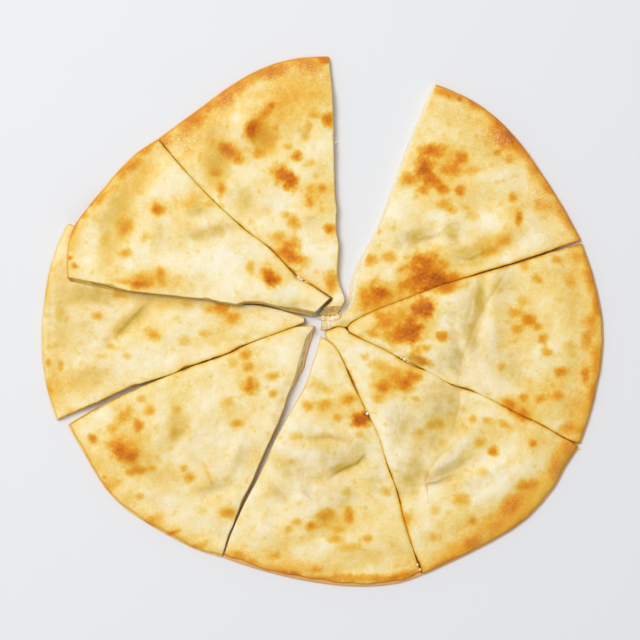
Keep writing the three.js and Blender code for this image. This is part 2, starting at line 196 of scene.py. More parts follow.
# Places along the shared cuts: (x, y, how far parted, how brown its edges are), both from 0 to 1.
seams = [
    (25, -11, 0.5, 0.6), (35, -15, 0.15, 0.4), (45, -20, 0.2, 0.4), (60, -28, 0.4, 0.6), (70, -33, 0.8, 0.9),
    (82, -38, 0, 0.1), (92, -45, 0, 0.1), (98, -48.5, 0.8, 0.5), (108, -50.5, 0.8, 0.5),
    (120, -56, 0.05, 0.2), (130, -61, 0.05, 0.4), (140, -66, 0.3, 0.9), (150, -70, 0.3, 0.8),
    (165, -77, 0.3, 0.7), (180, -86, 0.4, 0.7), (192, -93, 0.9, 0.9), (4, -14, 0.2, 0.35),
    (11, -20.5, 0.15, 0.4), (16, -30, 0.3, 0.4), (21, -40, 1, 0.6), (24.5, -48, 0.8, 0.6),
    (28, -56, 0.1, 0.8), (32, -63, 0.1, 0.9), (34, -69, 0.6, 0.3), (40, -80, 0, 0.3), (45, -94, 0, 0.3),
    (48.5, -105, 0.1, 0.5), (50.5, -111, 0.9, 0.6), (53, -119, 0.2, 0.4), (57, -131, 0.8, 0.8),
    (60, -143, 0.15, 0.8), (64.5, -158, 0.15, 0.8), (69, -172, 0.3, 0.4), (72, -182, 1, 0.6),
    (76, -190, 0.9, 0.6), (-14, -3, 0.2, 0.5), (-30, -8, 0.15, 0.5), (-46, -13.5, 0.15, 0.4),
    (-56, -17.5, 0.2, 0.4), (-61, -20, 0.9, 0.6), (-66, -22.5, 0.5, 0.7), (-73, -25.5, 0.15, 0.5),
    (-79, -27.5, 0.9, 0.7), (-87, -30.5, 0.9, 0.6), (-93, -32, 0.15, 0.4), (-100, -34.8, 0.9, 0.6),
    (-110, -39, 0.1, 0.3), (-124, -44, 0.4, 0.4), (-150, -54, 1, 0.35), (-180, -68, 1, 0.35),
    (2, 20, 0.5, 0.5), (-8, 27, 0.4, 0.6), (-15, 31, 0.9, 0.5), (-24, 38, 0.4, 0.5), (-37, 52, 0.4, 0.6),
    (-48, 61, 0.1, 0.3), (-58, 69, 0.5, 0.6), (-70, 80, 0.15, 0.3), (-80, 89, 0.4, 0.4),
    (-92, 101, 0.15, 0.4), (-108, 119, 0.4, 0.4), (-123, 137, 0.6, 0.5), (6, -6.4, 0.3, 0.8),
    (12, -4.8, 0.2, 0.7), (21, -1, 0.1, 0.5), (34, 5.4, 0.05, 0.6), (48, 11, 0.05, 0.6),
    (62, 16.5, 0.05, 0.7), (76, 21.5, 0.05, 0.9), (90, 27, 0.1, 0.8), (104, 31.5, 0.25, 0.7),
    (118, 35.5, 0.4, 0.7), (140, 42, 0.5, 0.7), (170, 53, 0.6, 0.7), (195, 60, 0.8, 0.8),
]

# Each slice: its cuts from the tip to the rim, how far each leans out at its foot as (share of the cut,
# lean) stops, the rim between them, its bubbles and dips (relief, with a rise in mm), and where it is
# browned (brown and rimSpots, ragged), tan in tone and in its valleys darker as painted shade (warm,
# soft), yellow with fat, pale with flour and lighter as painted highlight on lit slopes and edges (pale),
# or olive as painted shade in hollows, at folds' feet and under the riding slice, and duller olive over
# some wider stretches (shade). An entry is (x, y, half length, half width, turn in degrees if there is one,
# rise or strength). A nick is (x, y, radius, depth) of a broken place along a cut. A shared cut is one
# whose two slices were hardly moved apart. faceOchre and faceBrown are the left and right
# cut face's tone as (tip, rim): how ochre with fat it is, deepest as painted shade on faces in shade, and
# how brown at the foot, or from above 1 darker all over as painted shade. A fold is (line, width, rise).
# rimGlow, flour, lipTan and crease are strengths along the rim, the crease a dark line of browning and
# painted shade, and lip is the bottom crust's lip there as a share of its full width. Slice 2 rides on
# slice 3, whose edge it covers.
slice1 = {
    "left": [(-3.4, 3), (1.2, 9.2), (6.8, 14.4), (8.2, 16.8), (5, 19), *cut12[1:]],
    "leftLean": upright,
    "right": [
        (11.6, 2.6), (13.4, 7.6), (16.6, 12), (18, 15.5), (16.3, 21.5), (14, 29), (13, 36), (13.3, 46),
        (13.6, 57), (12, 67), (11.6, 76), (12.1, 85), (10.8, 95), (10, 120), (9.5, 145), (8.5, 172),
        (6, 199),
    ],
    "rightLean": [(0, 0.9), (1, 0.5)],
    "shared": ("left",), "tipLean": 9,
    "rim": [(-107.5, 148.5), (-91, 160.5), (-75, 172.5), (-57, 184), (-37, 193), (-16, 198)],
    "relief": [
        (-56, 149, 13, 10, 50, 3.4), (-78, 141, 14, 12, 1.5), (-78, 113, 20, 9, 80, -2.2),
        (-42, 135, 12, 7, 35, -2.2), (-52, 100, 22, 16, 1), (-20, 165, 25, 15, 0.8),
    ],
    "brown": [
        (-52, 143, 8, 5.5, 60, 0.78), (-70, 127, 9, 5, 150, 0.66), (-62, 120, 4, 3, 0.45),
        (-47, 125, 5, 4, 0.38), (-37, 161, 2.8, 2.6, 0.6), (-42, 156, 6, 3.4, 50, 0.45),
        (-19, 123, 4, 4, 0.72), (-28, 108, 12, 7, 140, 0.72), (-24, 103, 5, 6, 0.6),
        (-75, 98, 6, 3.2, 75, 0.55), (-79, 111, 4, 3, 0.36), (5, 150, 5, 6, 0.64), (-5, 153, 6, 3, 0.3),
        (-10, 145, 3.4, 5, 0.26), (-12, 137, 3.4, 3, 0.26), (0, 99, 3.6, 3.4, 0.46), (-8, 99, 4, 4, 0.3),
        (-9, 90, 3.4, 5, 15, 0.42), (-21, 74, 4.5, 6.5, 20, 0.42), (-26, 79, 4, 3, 0.28),
        (6, 69, 4.4, 4, 0.56), (-26, 50, 10, 6.5, 150, 0.62), (-22, 57, 7, 7, 0.36),
        (-15, 45, 7, 5, 150, 0.34), (7, 29, 5, 8, 0.5), (-8, 118, 4, 3, 0.24), (-33, 63, 6, 4, 0.26),
        (-34, 144, 3, 3, 0.3), (-25, 130, 3, 2.5, 0.24),
    ],
    "warm": [
        (-14, 170, 28, 20, 10, 0.34), (-85, 143, 26, 12, 40, 0.2), (-43, 137, 10, 15, 25, 0.5),
        (-35, 150, 30, 22, 0.2), (-70, 128, 18, 8, 150, 0.3), (-80, 114, 10, 18, 10, 0.36),
        (-98, 121, 12, 10, 0.14), (-28, 55, 16, 10, 150, 0.16), (4, 70, 9, 34, 0.06),
        (-12, 92, 12, 14, 0.14), (-35, 158, 16, 9, 40, 0.2), (-2, 105, 10, 16, 0.12),
    ],
    "faceOchre": ((0.9, 0.9), (0.9, 0.7)), "faceBrown": ((1.5, 1), (1, 0.7)), "rimGlow": 0.9, "flour": 1.0,
    "lip": 0.4, "lipTan": 0.5, "crease": 0.35,
    "shade": [
        (-76, 118, 9, 16, 10, 0.5), (-80, 140, 16, 8, 20, 0.35), (-40, 137, 14, 8, 30, 0.35),
        (-60, 95, 12, 9, 30, 0.35), (-8, 75, 6, 5, 0.35), (-40, 85, 10, 5, 40, 0.2), (-14, 141, 7, 4, 0.3),
    ],
    "rimSpots": [
        (-95, 152, 11, 6, 35, 0.42), (-72, 167, 9, 7, 30, 0.45), (-38, 187, 12, 6, 15, 0.46),
        (2, 196, 5, 3.5, 0.6), (-8, 191, 10, 6, 0.38), (-118, 133, 7, 4, 45, 0.4),
        (-100, 143, 12, 5, 40, 0.2), (-60, 176, 12, 5, 30, 0.26), (-85, 160, 6, 4, 35, 0.3),
    ],
    "yellow": [
        (-56, 86, 9, 8, 30, 0.6), (-66, 94, 8, 6, 0.35), (-8, 77, 5, 3, 20, 0.75), (8, 28, 5, 12, 0.35),
        (-14, 141, 6, 4, 0.3), (0, 60, 5, 10, 0.25),
    ],
    "pale": [
        (-64, 151, 4.5, 9, -20, 0.8), (-55, 111, 12, 9, 0.75), (-33, 88, 18, 9, 0.7), (-8, 127, 12, 8, 0.5),
        (3, 47, 6, 10, 0.7), (-40, 71, 12, 7, 0.5), (-45, 178, 9, 5, 20, 0.3), (13, 18, 6, 3.4, 5, 1),
        (-62, 141, 5, 5, 0.4), (-10, 108, 6, 5, 0.3),
    ],
    "nicks": [
        (-17, 32, 3.4, 1.1), (-8, 26, 3, 0.5), (-34, 50, 4, 0.35), (12.7, 60, 3, 0.4), (11.5, 84, 2, 0.5),
        (9.7, 134, 3, 0.4),
    ],
}

slice2 = {
    "left": [
        (-7.5, 3.2), (-14, 4.4), (-25, 6.8), (-35, 10), (-45, 12.3), (-57, 12.8), (-64, 10.8), (-74, 12.3),
        (-84, 14.5), (-100, 16), (-123, 18.5), (-148, 21.5), (-165, 25), (-190, 30),
    ],
    "leftLean": [(0, 4.4), (0.08, 4.4), (0.14, 1.4), (0.74, 1.4), (0.82, 2.8), (1, 2.4)],
    "right": cut12,
    "rightLean": [(0, 1.4), (0.08, 0.1), (1, 0.1)],
    "shared": ("right",),
    "rim": [(-190.5, 48), (-186.5, 67), (-177, 82), (-165, 98), (-152, 114), (-139, 126.5)],
    "relief": [
        (-148, 88, 38, 9, 60, -2), (-158, 48, 18, 9, 80, -1.2), (-100, 55, 45, 22, 150, 1.2),
        (-115, 100, 20, 12, 45, 1),
    ],
    "rides": True,
    "brown": [
        (-38, 32, 9, 6, 140, 0.72), (-36, 29, 5, 4, 0.5), (-53, 40, 6, 4, 110, 0.4),
        (-122, 83, 4.8, 4.2, 0.66), (-146, 70, 6, 6, 0.4), (-146, 50, 5, 4, 0.42), (-183, 41, 2.6, 2.4, 0.5),
        (-187, 47, 2, 2, 0.6), (-136, 28, 7, 5, 0.56), (-119, 34, 3.4, 7.5, 0.42), (-128, 30, 5, 4, 0.3),
        (-98, 88, 6, 4, 20, 0.22), (-84, 87, 5, 3, 0.24), (-130, 62, 5, 4, 0.2), (-160, 60, 4, 5, 0.18),
    ],
    "warm": [
        (-134, 108, 18, 11, 50, 0.28), (-146, 82, 12, 18, 0.24), (-156, 52, 12, 18, 0.2),
        (-148, 68, 9, 9, 0.22), (-120, 85, 10, 9, 0.18), (-126, 31, 24, 9, 0.3), (-95, 92, 20, 8, 20, 0.18),
        (-36, 36, 16, 11, 140, 0.2), (-105, 70, 8, 14, 0.12),
    ],
    "faceOchre": ((1, 1), (1, 1)), "faceBrown": ((1.5, 2), (1, 1)), "rimGlow": 0.4, "flour": 0.4, "lip": 0.4,
    "lipTan": 0.25, "crease": 0.4,
    "shade": [
        (-150, 78, 11, 34, -25, 0.45), (-93, 82, 9, 5, 10, 0.5), (-84, 66, 20, 6, 12, 0.5),
        (-120, 62, 8, 12, 0.3), (-160, 75, 8, 20, -30, 0.25), (-20, 12, 16, 3, 5, 0.4),
    ],
    "rimSpots": [
        (-148, 112, 8, 5, 45, 0.36), (-165, 92, 7, 4, 50, 0.36), (-177, 79, 4, 3, 0.36),
        (-180, 83, 1, 5, -32, 0.8), (-170.5, 93, 1, 1.6, 0.7), (-140, 28, 16, 2, -8, 0.3),
        (-172, 87, 2, 2, 0.5), (-130, 130, 9, 4, 45, 0.36), (-140, 118, 8, 4, 45, 0.3),
        (-184, 70, 3, 6, -20, 0.3),
    ],
    "yellow": [
        (-93, 82, 9, 5, 10, 0.6), (-84, 66, 20, 6, 12, 0.75), (-113, 60, 6, 10, 0.5), (-90, 31, 12, 6, 0.35),
        (-60, 87, 8, 5, 0.4), (-125, 32, 20, 8, 0.4), (-105, 50, 5, 7, 0.3), (-72, 72, 6, 6, 0.4),
    ],
    "pale": [
        (-75, 43, 34, 14, 8, 0.95), (-172, 58, 8, 24, -15, 0.6), (-110, 96, 12, 12, 0.6),
        (-28, 21, 16, 7, 10, 0.8), (-108, 44, 14, 10, 0.5), (-100, 105, 12, 9, 0.4), (-60, 25, 20, 8, 0.7),
        (-45, 55, 10, 7, 0.5),
    ],
    "nicks": [
        (-17, 32, 3.4, 1.3), (-8, 26, 3, 0.4), (-84, 16, 4, 0.9), (-68, 11, 4, 0.6), (-110, 17.5, 5, 0.4),
        (-46, 12, 5, 0.5), (-155, 24, 4, 1),
    ],
}

slice3 = {
    "left": [
        (-12.3, -0.9), (-20, -4), (-35, -9.6), (-50, -15), (-60, -19.2), (-70, -24.2), (-85, -29.5),
        (-100, -34.6), (-110, -38.8), (-122, -43), (-135, -47), (-150, -52.8), (-165, -60), (-180, -66.5),
        (-199, -75),
    ],
    "leftLean": [(0, 0.3), (1, 0.5)],
    "shared": ("left",),
    "right": [
        (-12.4, 3), (-29, 8.8), (-46, 12.6), (-64, 15), (-95, 29.5), (-125, 44), (-158, 59.5), (-191, 74),
    ],
    "rightLean": [(0, 0.8), (1, 0.8)],
    "rim": [(-206, -53), (-210, -30), (-210.5, -8), (-209, 12), (-205.5, 35), (-199.5, 55)],
    "relief": [
        (-140, 0, 24, 7, 35, -1.8), (-183, 5, 35, 9, 90, -1.2), (-160, -25, 25, 18, 1),
        (-110, -5, 22, 12, 30, 1.2), (-75, -16, 22, 8, 20, -1),
    ],
    "covered": True,
    "brown": [
        (-168, 4, 3.8, 3.6, 0.42), (-125, -11, 5, 4.5, 0.42), (-130, -6, 4, 2, 30, 0.2),
        (-195, -32, 2.4, 4.5, 0.42), (-205, -31, 2, 3, 0.4), (-145, -26, 3.4, 3, 0.26),
        (-158, -19, 4, 2.4, 0.28), (-150, 20, 5, 2.6, 0.45), (-75, 11, 9, 4.5, 10, 0.5),
        (-66, 2, 6, 5, 0.36), (-87, -9, 4, 3, 0.2), (-103, -15, 5, 4, 0.22), (-85, 10, 5, 4, 0.24),
        (-196, 5, 4, 5, 0.2), (-108, 2, 4, 3, 0.22), (-150, -8, 5, 3, 20, 0.22), (-100, 13, 5, 3, 0.25),
    ],
    "warm": [
        (-192, 0, 12, 50, 0.08), (-143, -1, 24, 7, 35, 0.22), (-165, 20, 26, 8, 5, 0.2),
        (-120, 14, 20, 6, 0.16), (-92, -14, 26, 7, 22, 0.12), (-70, 5, 14, 8, 0.16),
        (-180, -45, 20, 12, 10, 0.14), (-200, -45, 7, 20, 0.16),
    ],
    "faceOchre": ((1, 1), (0.5, 0.5)), "faceBrown": ((1, 1), (0.5, 0.3)), "rimGlow": 0.12, "flour": 0.1,
    "lip": 0.4, "lipTan": 0.15, "crease": 0.12,
    "shade": [
        (-172, 19, 18, 7, -8, 0.9), (-140, 18, 40, 2.4, -7, 0.6), (-185, -8, 26, 44, 0.3),
        (-143, 0, 26, 5, 42, 0.6), (-195, 10, 8, 30, 0.3), (-100, 12, 12, 4, 0.3),
        (-170, -40, 20, 8, 10, 0.25), (-205, 0, 3, 40, 0.2),
    ],
    "folds": [([(-155, -12), (-143, 1), (-129, 15)], 12, 1.2)],
    "rimSpots": [(-205, 22, 3, 10, 0.1), (-204, -50, 4, 12, 0.15)],
    "yellow": [
        (-143, 0, 24, 5, 35, 0.4), (-190, 20, 10, 20, 0.25), (-100, 12, 14, 5, 0.35),
        (-60, -12, 20, 5, 18, 0.3), (-170, -40, 25, 8, 10, 0.2),
    ],
    "pale": [
        (-106, 5, 18, 8, 10, 0.6), (-40, 2, 18, 6, 15, 0.7), (-150, -35, 14, 8, 10, 0.4),
        (-128, 8, 8, 6, 0.5), (-165, -8, 8, 8, 0.4), (-110, -28, 14, 6, 20, 0.4), (-85, 0, 8, 6, 0.35),
        (-202, 10, 3, 20, 0.3),
    ],
    "nicks": [(-100, -36, 4, 0.6), (-60, -20, 3, 0.5), (-140, -51, 5, 0.5)],
}

slice4 = {
    "left": [
        (-4.5, -4), (-6.2, -11), (-9, -20), (-11.8, -30), (-12.8, -35), (-16.5, -42), (-20, -48.5),
        (-24, -55), (-27, -65), (-31, -75.5), (-36, -87), (-41, -98), (-46, -109.5), (-50.3, -120),
        (-56, -131.5), (-61, -142), (-65.5, -152), (-69.5, -162), (-74.8, -177.8),
    ],
    "leftLean": [
        (0, 2.5), (0.06, 4.4), (0.18, 4.2), (0.27, 0.9), (0.45, 1.2), (0.75, 1.6), (0.85, 0.3), (1, 0.3),
    ],
    "right": [
        (-8, -3.4), (-20, -4.5), (-35, -9.7), (-50, -15.1), (-60, -19.3), (-70, -24.3), (-85, -29.6),
        (-100, -34.7), (-110, -39), (-122, -43.6), (-135, -49), (-150, -55.5), (-165, -62.8), (-178, -70),
        (-191, -78),
    ],
    "rightLean": [(0, 0.2), (0.7, 0.3), (0.85, 1.4), (1, 0.6)],
    "shared": ("right",),
    "rim": [(-95, -171.5), (-114, -162), (-133, -151), (-150, -139), (-164, -124), (-178, -101)],
    "relief": [
        (-120, -78, 14, 11, 60, 1.6), (-106, -78, 14, 7, 70, -2.2), (-146, -96, 18, 11, -35, 1.8),
        (-130, -114, 22, 7, -20, -1.6), (-68, -106, 20, 8, 60, 1.6), (-86, -118, 16, 7, 60, 1.4),
        (-78, -127, 14, 5, 20, -1.4), (-50, -35, 22, 12, 30, 0.8),
    ],
    "brown": [
        (-171, -88, 3.8, 3.8, 0.6), (-147, -70, 8, 7, 0.38), (-137, -78, 4.4, 5, 0.55),
        (-128, -66, 4.4, 4, 0.36), (-135, -58, 4, 3, 0.28), (-147, -98, 14, 9, 140, 0.46),
        (-143, -101, 7, 5, 0.5), (-152, -96, 5, 5, 0.4), (-137, -112, 12, 3, 12, 0.5),
        (-163, -117, 1.8, 1.8, 0.4), (-98, -117, 4.4, 4, 0.44), (-103, -110, 2.8, 2.6, 0.34),
        (-136, -131, 2.8, 2.6, 0.34), (-111, -158, 5.5, 2.4, 20, 0.58), (-53, -48, 6.5, 5.8, 0.6),
        (-57, -26, 5, 4.6, 0.4), (-55, -34, 4, 4, 0.38), (-37, -41, 4.8, 3.6, 0.4),
        (-36, -54, 3.8, 3.6, 0.4), (-63, -76, 4.6, 3.6, 0.42), (-155, -80, 5, 4, 0.3), (-66, -30, 5, 4, 0.2),
        (-70, -60, 5, 4, 0.2), (-108, -66, 4, 3, 0.22), (-110, -84, 4, 4, 0.22), (-70, -143, 6, 3.4, 0.4),
    ],
    "warm": [
        (-108, -76, 9, 14, 0.24), (-70, -143, 8, 5, 0.2), (-148, -94, 24, 18, 140, 0.26),
        (-120, -114, 24, 7, 0.14), (-55, -35, 14, 16, 0.18), (-92, -124, 18, 5, 30, 0.16),
        (-70, -70, 12, 10, 0.12), (-125, -150, 30, 6, 33, 0.16),
    ],
    "faceOchre": ((0.7, 1), (1, 1)), "faceBrown": ((1, 2), (1, 1)), "rimGlow": 0.45, "flour": 0.5,
    "lip": 0.55, "lipTan": 0.3, "crease": 0.3,
    "shade": [
        (-100, -98, 55, 36, 30, 0.2), (-106, -82, 12, 5, 60, 0.5), (-80, -124, 14, 5, 20, 0.4),
        (-130, -115, 18, 4, -10, 0.3), (-60, -100, 5, 16, -20, 0.35), (-66, -142, 8, 3, 40, 0.4),
        (-30, -62, 4, 20, -20, 0.3),
    ],
    "rimSpots": [(-160, -125, 6, 12, -40, 0.2), (-130, -151, 12, 4, 30, 0.3), (-95, -170, 12, 3, 25, 0.3)],
    "yellow": [
        (-80, -122, 14, 5, 25, 0.4), (-108, -62, 10, 8, 0.35), (-62, -95, 5, 14, -20, 0.3),
        (-90, -95, 12, 6, 0.25), (-115, -120, 14, 6, 0.3), (-30, -70, 4, 14, -20, 0.35),
        (-125, -80, 8, 8, 0.2), (-68, -62, 10, 6, 0.25),
    ],
    "pale": [
        (-60, -92, 14, 8, 60, 0.6), (-88, -62, 16, 10, 30, 0.6), (-112, -138, 16, 10, 30, 0.6),
        (-30, -25, 12, 12, 0.6), (-75, -108, 10, 6, 60, 0.6), (-118, -72, 6, 8, 0.5),
        (-90, -150, 14, 8, 30, 0.4), (-160, -70, 8, 6, 0.4), (-45, -70, 8, 10, -20, 0.4),
    ],
    "nicks": [
        (-13, -33, 3, 0.5), (-20, -50, 4, 0.5), (-70, -160, 4, 0.5), (-100, -37, 3, 0.5),
        (-57, -135, 5, 0.4),
    ],
}

slice5 = {
    "left": cut56, "leftLean": upright,
    "right": [
        (-1.5, -11.5), (-4, -22), (-8, -34), (-11, -44), (-16, -54), (-21, -63), (-27, -73.5), (-32.3, -83),
        (-36.8, -92), (-39.8, -99.5), (-44, -109), (-49.3, -120), (-55.6, -131.5), (-60.8, -142),
        (-65.3, -152), (-69.3, -162), (-74.6, -177.8),
    ],
    "rightLean": [(0, 0.6), (1, 0.2)],
    "shared": ("left",),
    "rim": [(58, -197), (37, -199.5), (15, -199), (-8, -196), (-30, -191.5), (-52, -185.5)],
    "relief": [
        (4, -96, 20, 12, -10, 2.4), (16, -109, 18, 6, 20, -2.8), (-4, -130, 18, 12, 30, 2.2),
        (10, -146, 16, 9, 45, -2.4), (-22, -105, 24, 10, 70, 1), (30, -160, 25, 14, 0.8),
    ],
    "brown": [
        (30, -73, 9, 7, 10, 0.85), (27, -76, 5, 3, 0.4), (35, -68, 5, 4, 0.6), (20, -58, 5.4, 4.8, 0.42),
        (12, -72, 3.6, 3, 0.34), (2, -62, 6, 4.4, 0.32), (-10, -63, 5, 4, 0.28), (3, -51, 7, 4, 0.24),
        (3, -146, 7, 6, 30, 0.42), (20, -145, 3.4, 6, 0.54), (-8, -153, 5, 3.2, 0.54),
        (-25, -155, 4, 2.6, 0.32), (10, -163, 6, 3, 0.32), (35, -162, 4, 3.4, 0.38), (13, -155, 5, 3, 0.26),
        (48, -127, 4.4, 3.8, 0.34), (18, -127, 4, 3, 0.2), (-20, -86, 5, 3, 0.22), (64, -145, 5, 5, 0.4),
        (-18, -150, 5, 3, 0.3), (28, -84, 4, 3, 0.24), (-5, -46, 6, 4, 0.2),
    ],
    "warm": [
        (8, -150, 20, 10, 15, 0.24), (35, -176, 34, 9, 5, 0.18), (15, -62, 20, 9, 10, 0.16),
        (-25, -165, 16, 8, 20, 0.12), (52, -160, 9, 16, 0.12), (32, -125, 9, 8, 0.12), (0, -90, 20, 6, 0.14),
        (-15, -185, 40, 5, 0.2),
    ],
    "faceOchre": ((1, 1), (0.3, 0.3)), "faceBrown": ((1, 1), (0.15, 0.2)), "rimGlow": 0.8, "flour": 0.5,
    "lip": 0.85, "lipTan": 0.85, "crease": 0.6,
    "shade": [
        (2, -105, 40, 30, 0.28), (2, -86, 18, 4, 0.55), (15, -109, 16, 4, 22, 0.95),
        (-25, -108, 12, 10, 0.4), (-32, -128, 10, 8, 0.4), (20, -131, 10, 8, 0.4), (5, -100, 14, 6, 0.25),
        (28, -94, 8, 10, 0.4), (-2, -50, 10, 6, 60, 0.3), (-11, -124, 5, 12, 0.35),
        (5, -152, 22, 10, 20, 0.3), (40, -120, 8, 12, 0.3), (-40, -150, 6, 14, 0.2),
    ],
    "folds": [
        ([(3, -118), (14, -111), (26, -106), (33, -98)], 9, 2), ([(24, -92), (6, -87), (-12, -89)], 12, 1.3),
        ([(-12, -112), (-14, -126), (-4, -136)], 10, 1.1), ([(24, -140), (12, -150), (-4, -150)], 8, 1.2),
    ],
    "rimSpots": [
        (-62, -174, 6, 3.2, 0.36), (-35, -176, 5, 3, 0.28), (-50, -180, 5, 3, 0.28), (-28, -189, 7, 3, 0.42),
        (-20, -190, 4, 3, 0.5), (-5, -186, 5, 3, 0.36), (30, -192, 36, 3, 0.36), (20, -169, 9, 4, 0.24),
        (60, -190, 10, 3, 15, 0.4),
    ],
    "yellow": [
        (16, -109, 13, 3.4, 18, 1.0), (2, -86, 17, 3.6, 5, 0.6), (5, -97, 15, 6, 0.45),
        (-25, -108, 12, 10, 0.35), (-36, -126, 10, 7, 0.4), (20, -131, 9, 7, 0.35), (26, -96, 6, 9, 0.4),
        (-18, -141, 7, 8, 30, 0.35), (38, -118, 8, 5, 0.3), (-8, -116, 14, 3, 10, 0.5), (8, -70, 8, 5, 0.2),
    ],
    "pale": [
        (-4, -32, 7, 16, 12, 0.85), (-20, -76, 8, 9, 0.5), (14, -98, 6, 3, 0.5), (-32, -93, 8, 7, 0.4),
        (-6, -127, 12, 7, 20, 0.6), (42, -105, 6, 10, 15, 0.5), (-45, -150, 10, 9, 0.5),
        (52, -176, 7, 8, 0.3), (-15, -172, 12, 5, 0.4), (-38, -112, 5, 8, -20, 0.4), (28, -145, 4, 6, 0.3),
        (0, -56, 5, 3, 0.3),
    ],
    "nicks": [
        (22, -44, 7, 0.35), (34.5, -70, 2, 0.5), (73, -183, 5, 0.5), (-14, -52, 4, 0.6), (-40, -103, 4, 0.4),
    ],
}

slice6 = {
    "left": [
        (2.2, -8), (5, -7), (8.5, -5.25), (12, -4.4), (16.5, -4.7), (19, -6.6), (20.4, -8.5), (22.4, -9.5),
        *cut67,
    ],
    "leftLean": upright, "right": cut56, "rightLean": upright, "shared": ("left", "right"),
    "rim": [(184, -109), (175, -125), (162, -141), (146, -155), (124, -168), (100, -180)],
    "relief": [
        (104, -90, 24, 7, 50, 3), (84, -113, 12, 7, 60, 2.4), (96, -70, 16, 10, 80, -2.6),
        (66, -120, 16, 10, -10, -2.6), (105, -112, 28, 7, 30, -2), (60, -80, 12, 9, -1.6),
        (48, -92, 16, 7, 80, 1.5), (58, -58, 16, 10, 1), (140, -110, 28, 16, 45, 1.2),
    ],
    "brown": [
        (62, -47, 6, 6, 20, 0.7), (68, -42, 6, 4.5, 0.55), (46, -49, 6, 4.6, 0.58), (42, -57, 5, 3.6, 0.36),
        (42, -32, 9, 6, -25, 0.24), (32, -27, 3.2, 3, 0.34), (70, -58, 3, 2.6, 0.32), (88, -76, 4, 3.4, 0.4),
        (82, -78, 4, 3.4, 0.36), (73, -83, 3.4, 3, 0.3), (112, -73, 3.2, 3, 0.34), (125, -75, 6, 4, 0.24),
        (128, -97, 4.6, 4.2, 0.54), (118, -91, 5, 4, 0.3), (157, -92, 3.4, 3.2, 0.52),
        (148, -71, 7, 4, -25, 0.5), (105, -133, 7, 6, 0.38), (113, -149, 4, 3, 0.3), (83, -162, 5, 4, 0.22),
        (85, -141, 4, 4, 0.2), (120, -113, 5, 4, 0.22), (64, -147, 5, 5, 0.36), (55, -40, 6, 5, 0.24),
        (136, -77, 5, 3, -20, 0.3), (90, -90, 4, 4, 0.18),
    ],
    "warm": [
        (150, -135, 42, 11, 42, 0.36), (182, -102, 9, 18, -30, 0.45), (108, -168, 26, 8, 28, 0.3),
        (52, -44, 20, 13, 20, 0.34), (128, -148, 34, 8, 36, 0.2), (128, -88, 18, 10, 20, 0.16),
        (95, -76, 14, 8, 0.14), (160, -88, 20, 10, -25, 0.14), (100, -150, 20, 10, 25, 0.12),
    ],
    "faceOchre": ((1, 1), (1, 1)), "faceBrown": ((1, 1), (1, 1)), "rimGlow": 0.85, "flour": 0.35, "lip": 0.5,
    "lipTan": 0.6, "crease": 0.5,
    "shade": [
        (80, -85, 30, 40, 20, 0.28), (90, -65, 14, 22, 0.65), (65, -80, 12, 10, 0.5),
        (68, -113, 10, 16, -15, 0.75), (92, -110, 16, 4, 25, 0.5), (55, -128, 8, 6, 0.45),
        (115, -120, 24, 5, 20, 0.35), (80, -90, 10, 8, 0.45), (99, -58, 4, 14, 0.5), (55, -70, 8, 10, 0.3),
        (183, -104, 6, 14, -30, 0.5),
    ],
    "folds": [
        ([(104, -50), (103, -62), (100, -76), (96, -90)], 12, 1.9),
        ([(103, -90), (88, -101), (80, -112), (78, -121), (86, -120), (99, -114)], 7, 1.9),
        ([(60, -66), (56, -84), (62, -98)], 10, 1.1),
    ],
    "rimSpots": [
        (113, -166, 8, 4.6, 35, 0.52), (150, -123, 6, 5, 0.36), (158, -123, 5, 4, 0.38),
        (141, -137, 8, 6, 40, 0.38), (175, -111, 5, 7, -20, 0.4), (185, -95, 5, 6, 0.36),
        (152, -148, 18, 3.4, 42, 0.3), (90, -182, 14, 3, 22, 0.25), (130, -155, 8, 4, 35, 0.3),
    ],
    "yellow": [
        (166, -128, 14, 30, -38, 0.5), (122, -160, 22, 8, 30, 0.4), (80, -71, 20, 9, -15, 0.5),
        (98, -60, 6, 13, 0.65), (65, -118, 10, 10, 0.85), (62, -80, 10, 6, 0.5), (94, -119, 17, 3, 14, 0.6),
        (104, -106, 18, 3, 32, 0.5), (90, -94, 5, 12, -35, 0.4), (120, -62, 9, 4, -20, 0.4),
        (42, -20, 18, 3, -24, 0.4), (75, -100, 6, 6, 0.4), (112, -120, 10, 3, 20, 0.3),
        (48, -118, 5, 8, 0.3),
    ],
    "pale": [
        (99, -98, 24, 4.5, 42, 1.0), (50, -100, 5, 15, 15, 0.8), (115, -128, 16, 8, 25, 0.5),
        (42, -27, 16, 4, -22, 0.6), (142, -88, 12, 7, 0.4), (82, -128, 10, 8, 0.5), (75, -55, 8, 4, 0.4),
        (70, -165, 10, 10, 0.4), (60, -98, 5, 8, 0.5), (130, -118, 12, 6, 20, 0.4), (45, -70, 5, 5, 0.5),
    ],
    "nicks": [
        (22, -44, 7, 0.35), (34.5, -70, 2, 0.5), (73, -183, 5, 0.6), (66, -30, 6, 0.5), (104, -49, 6, 0.3),
        (193, -94, 3, 1.2),
    ],
}

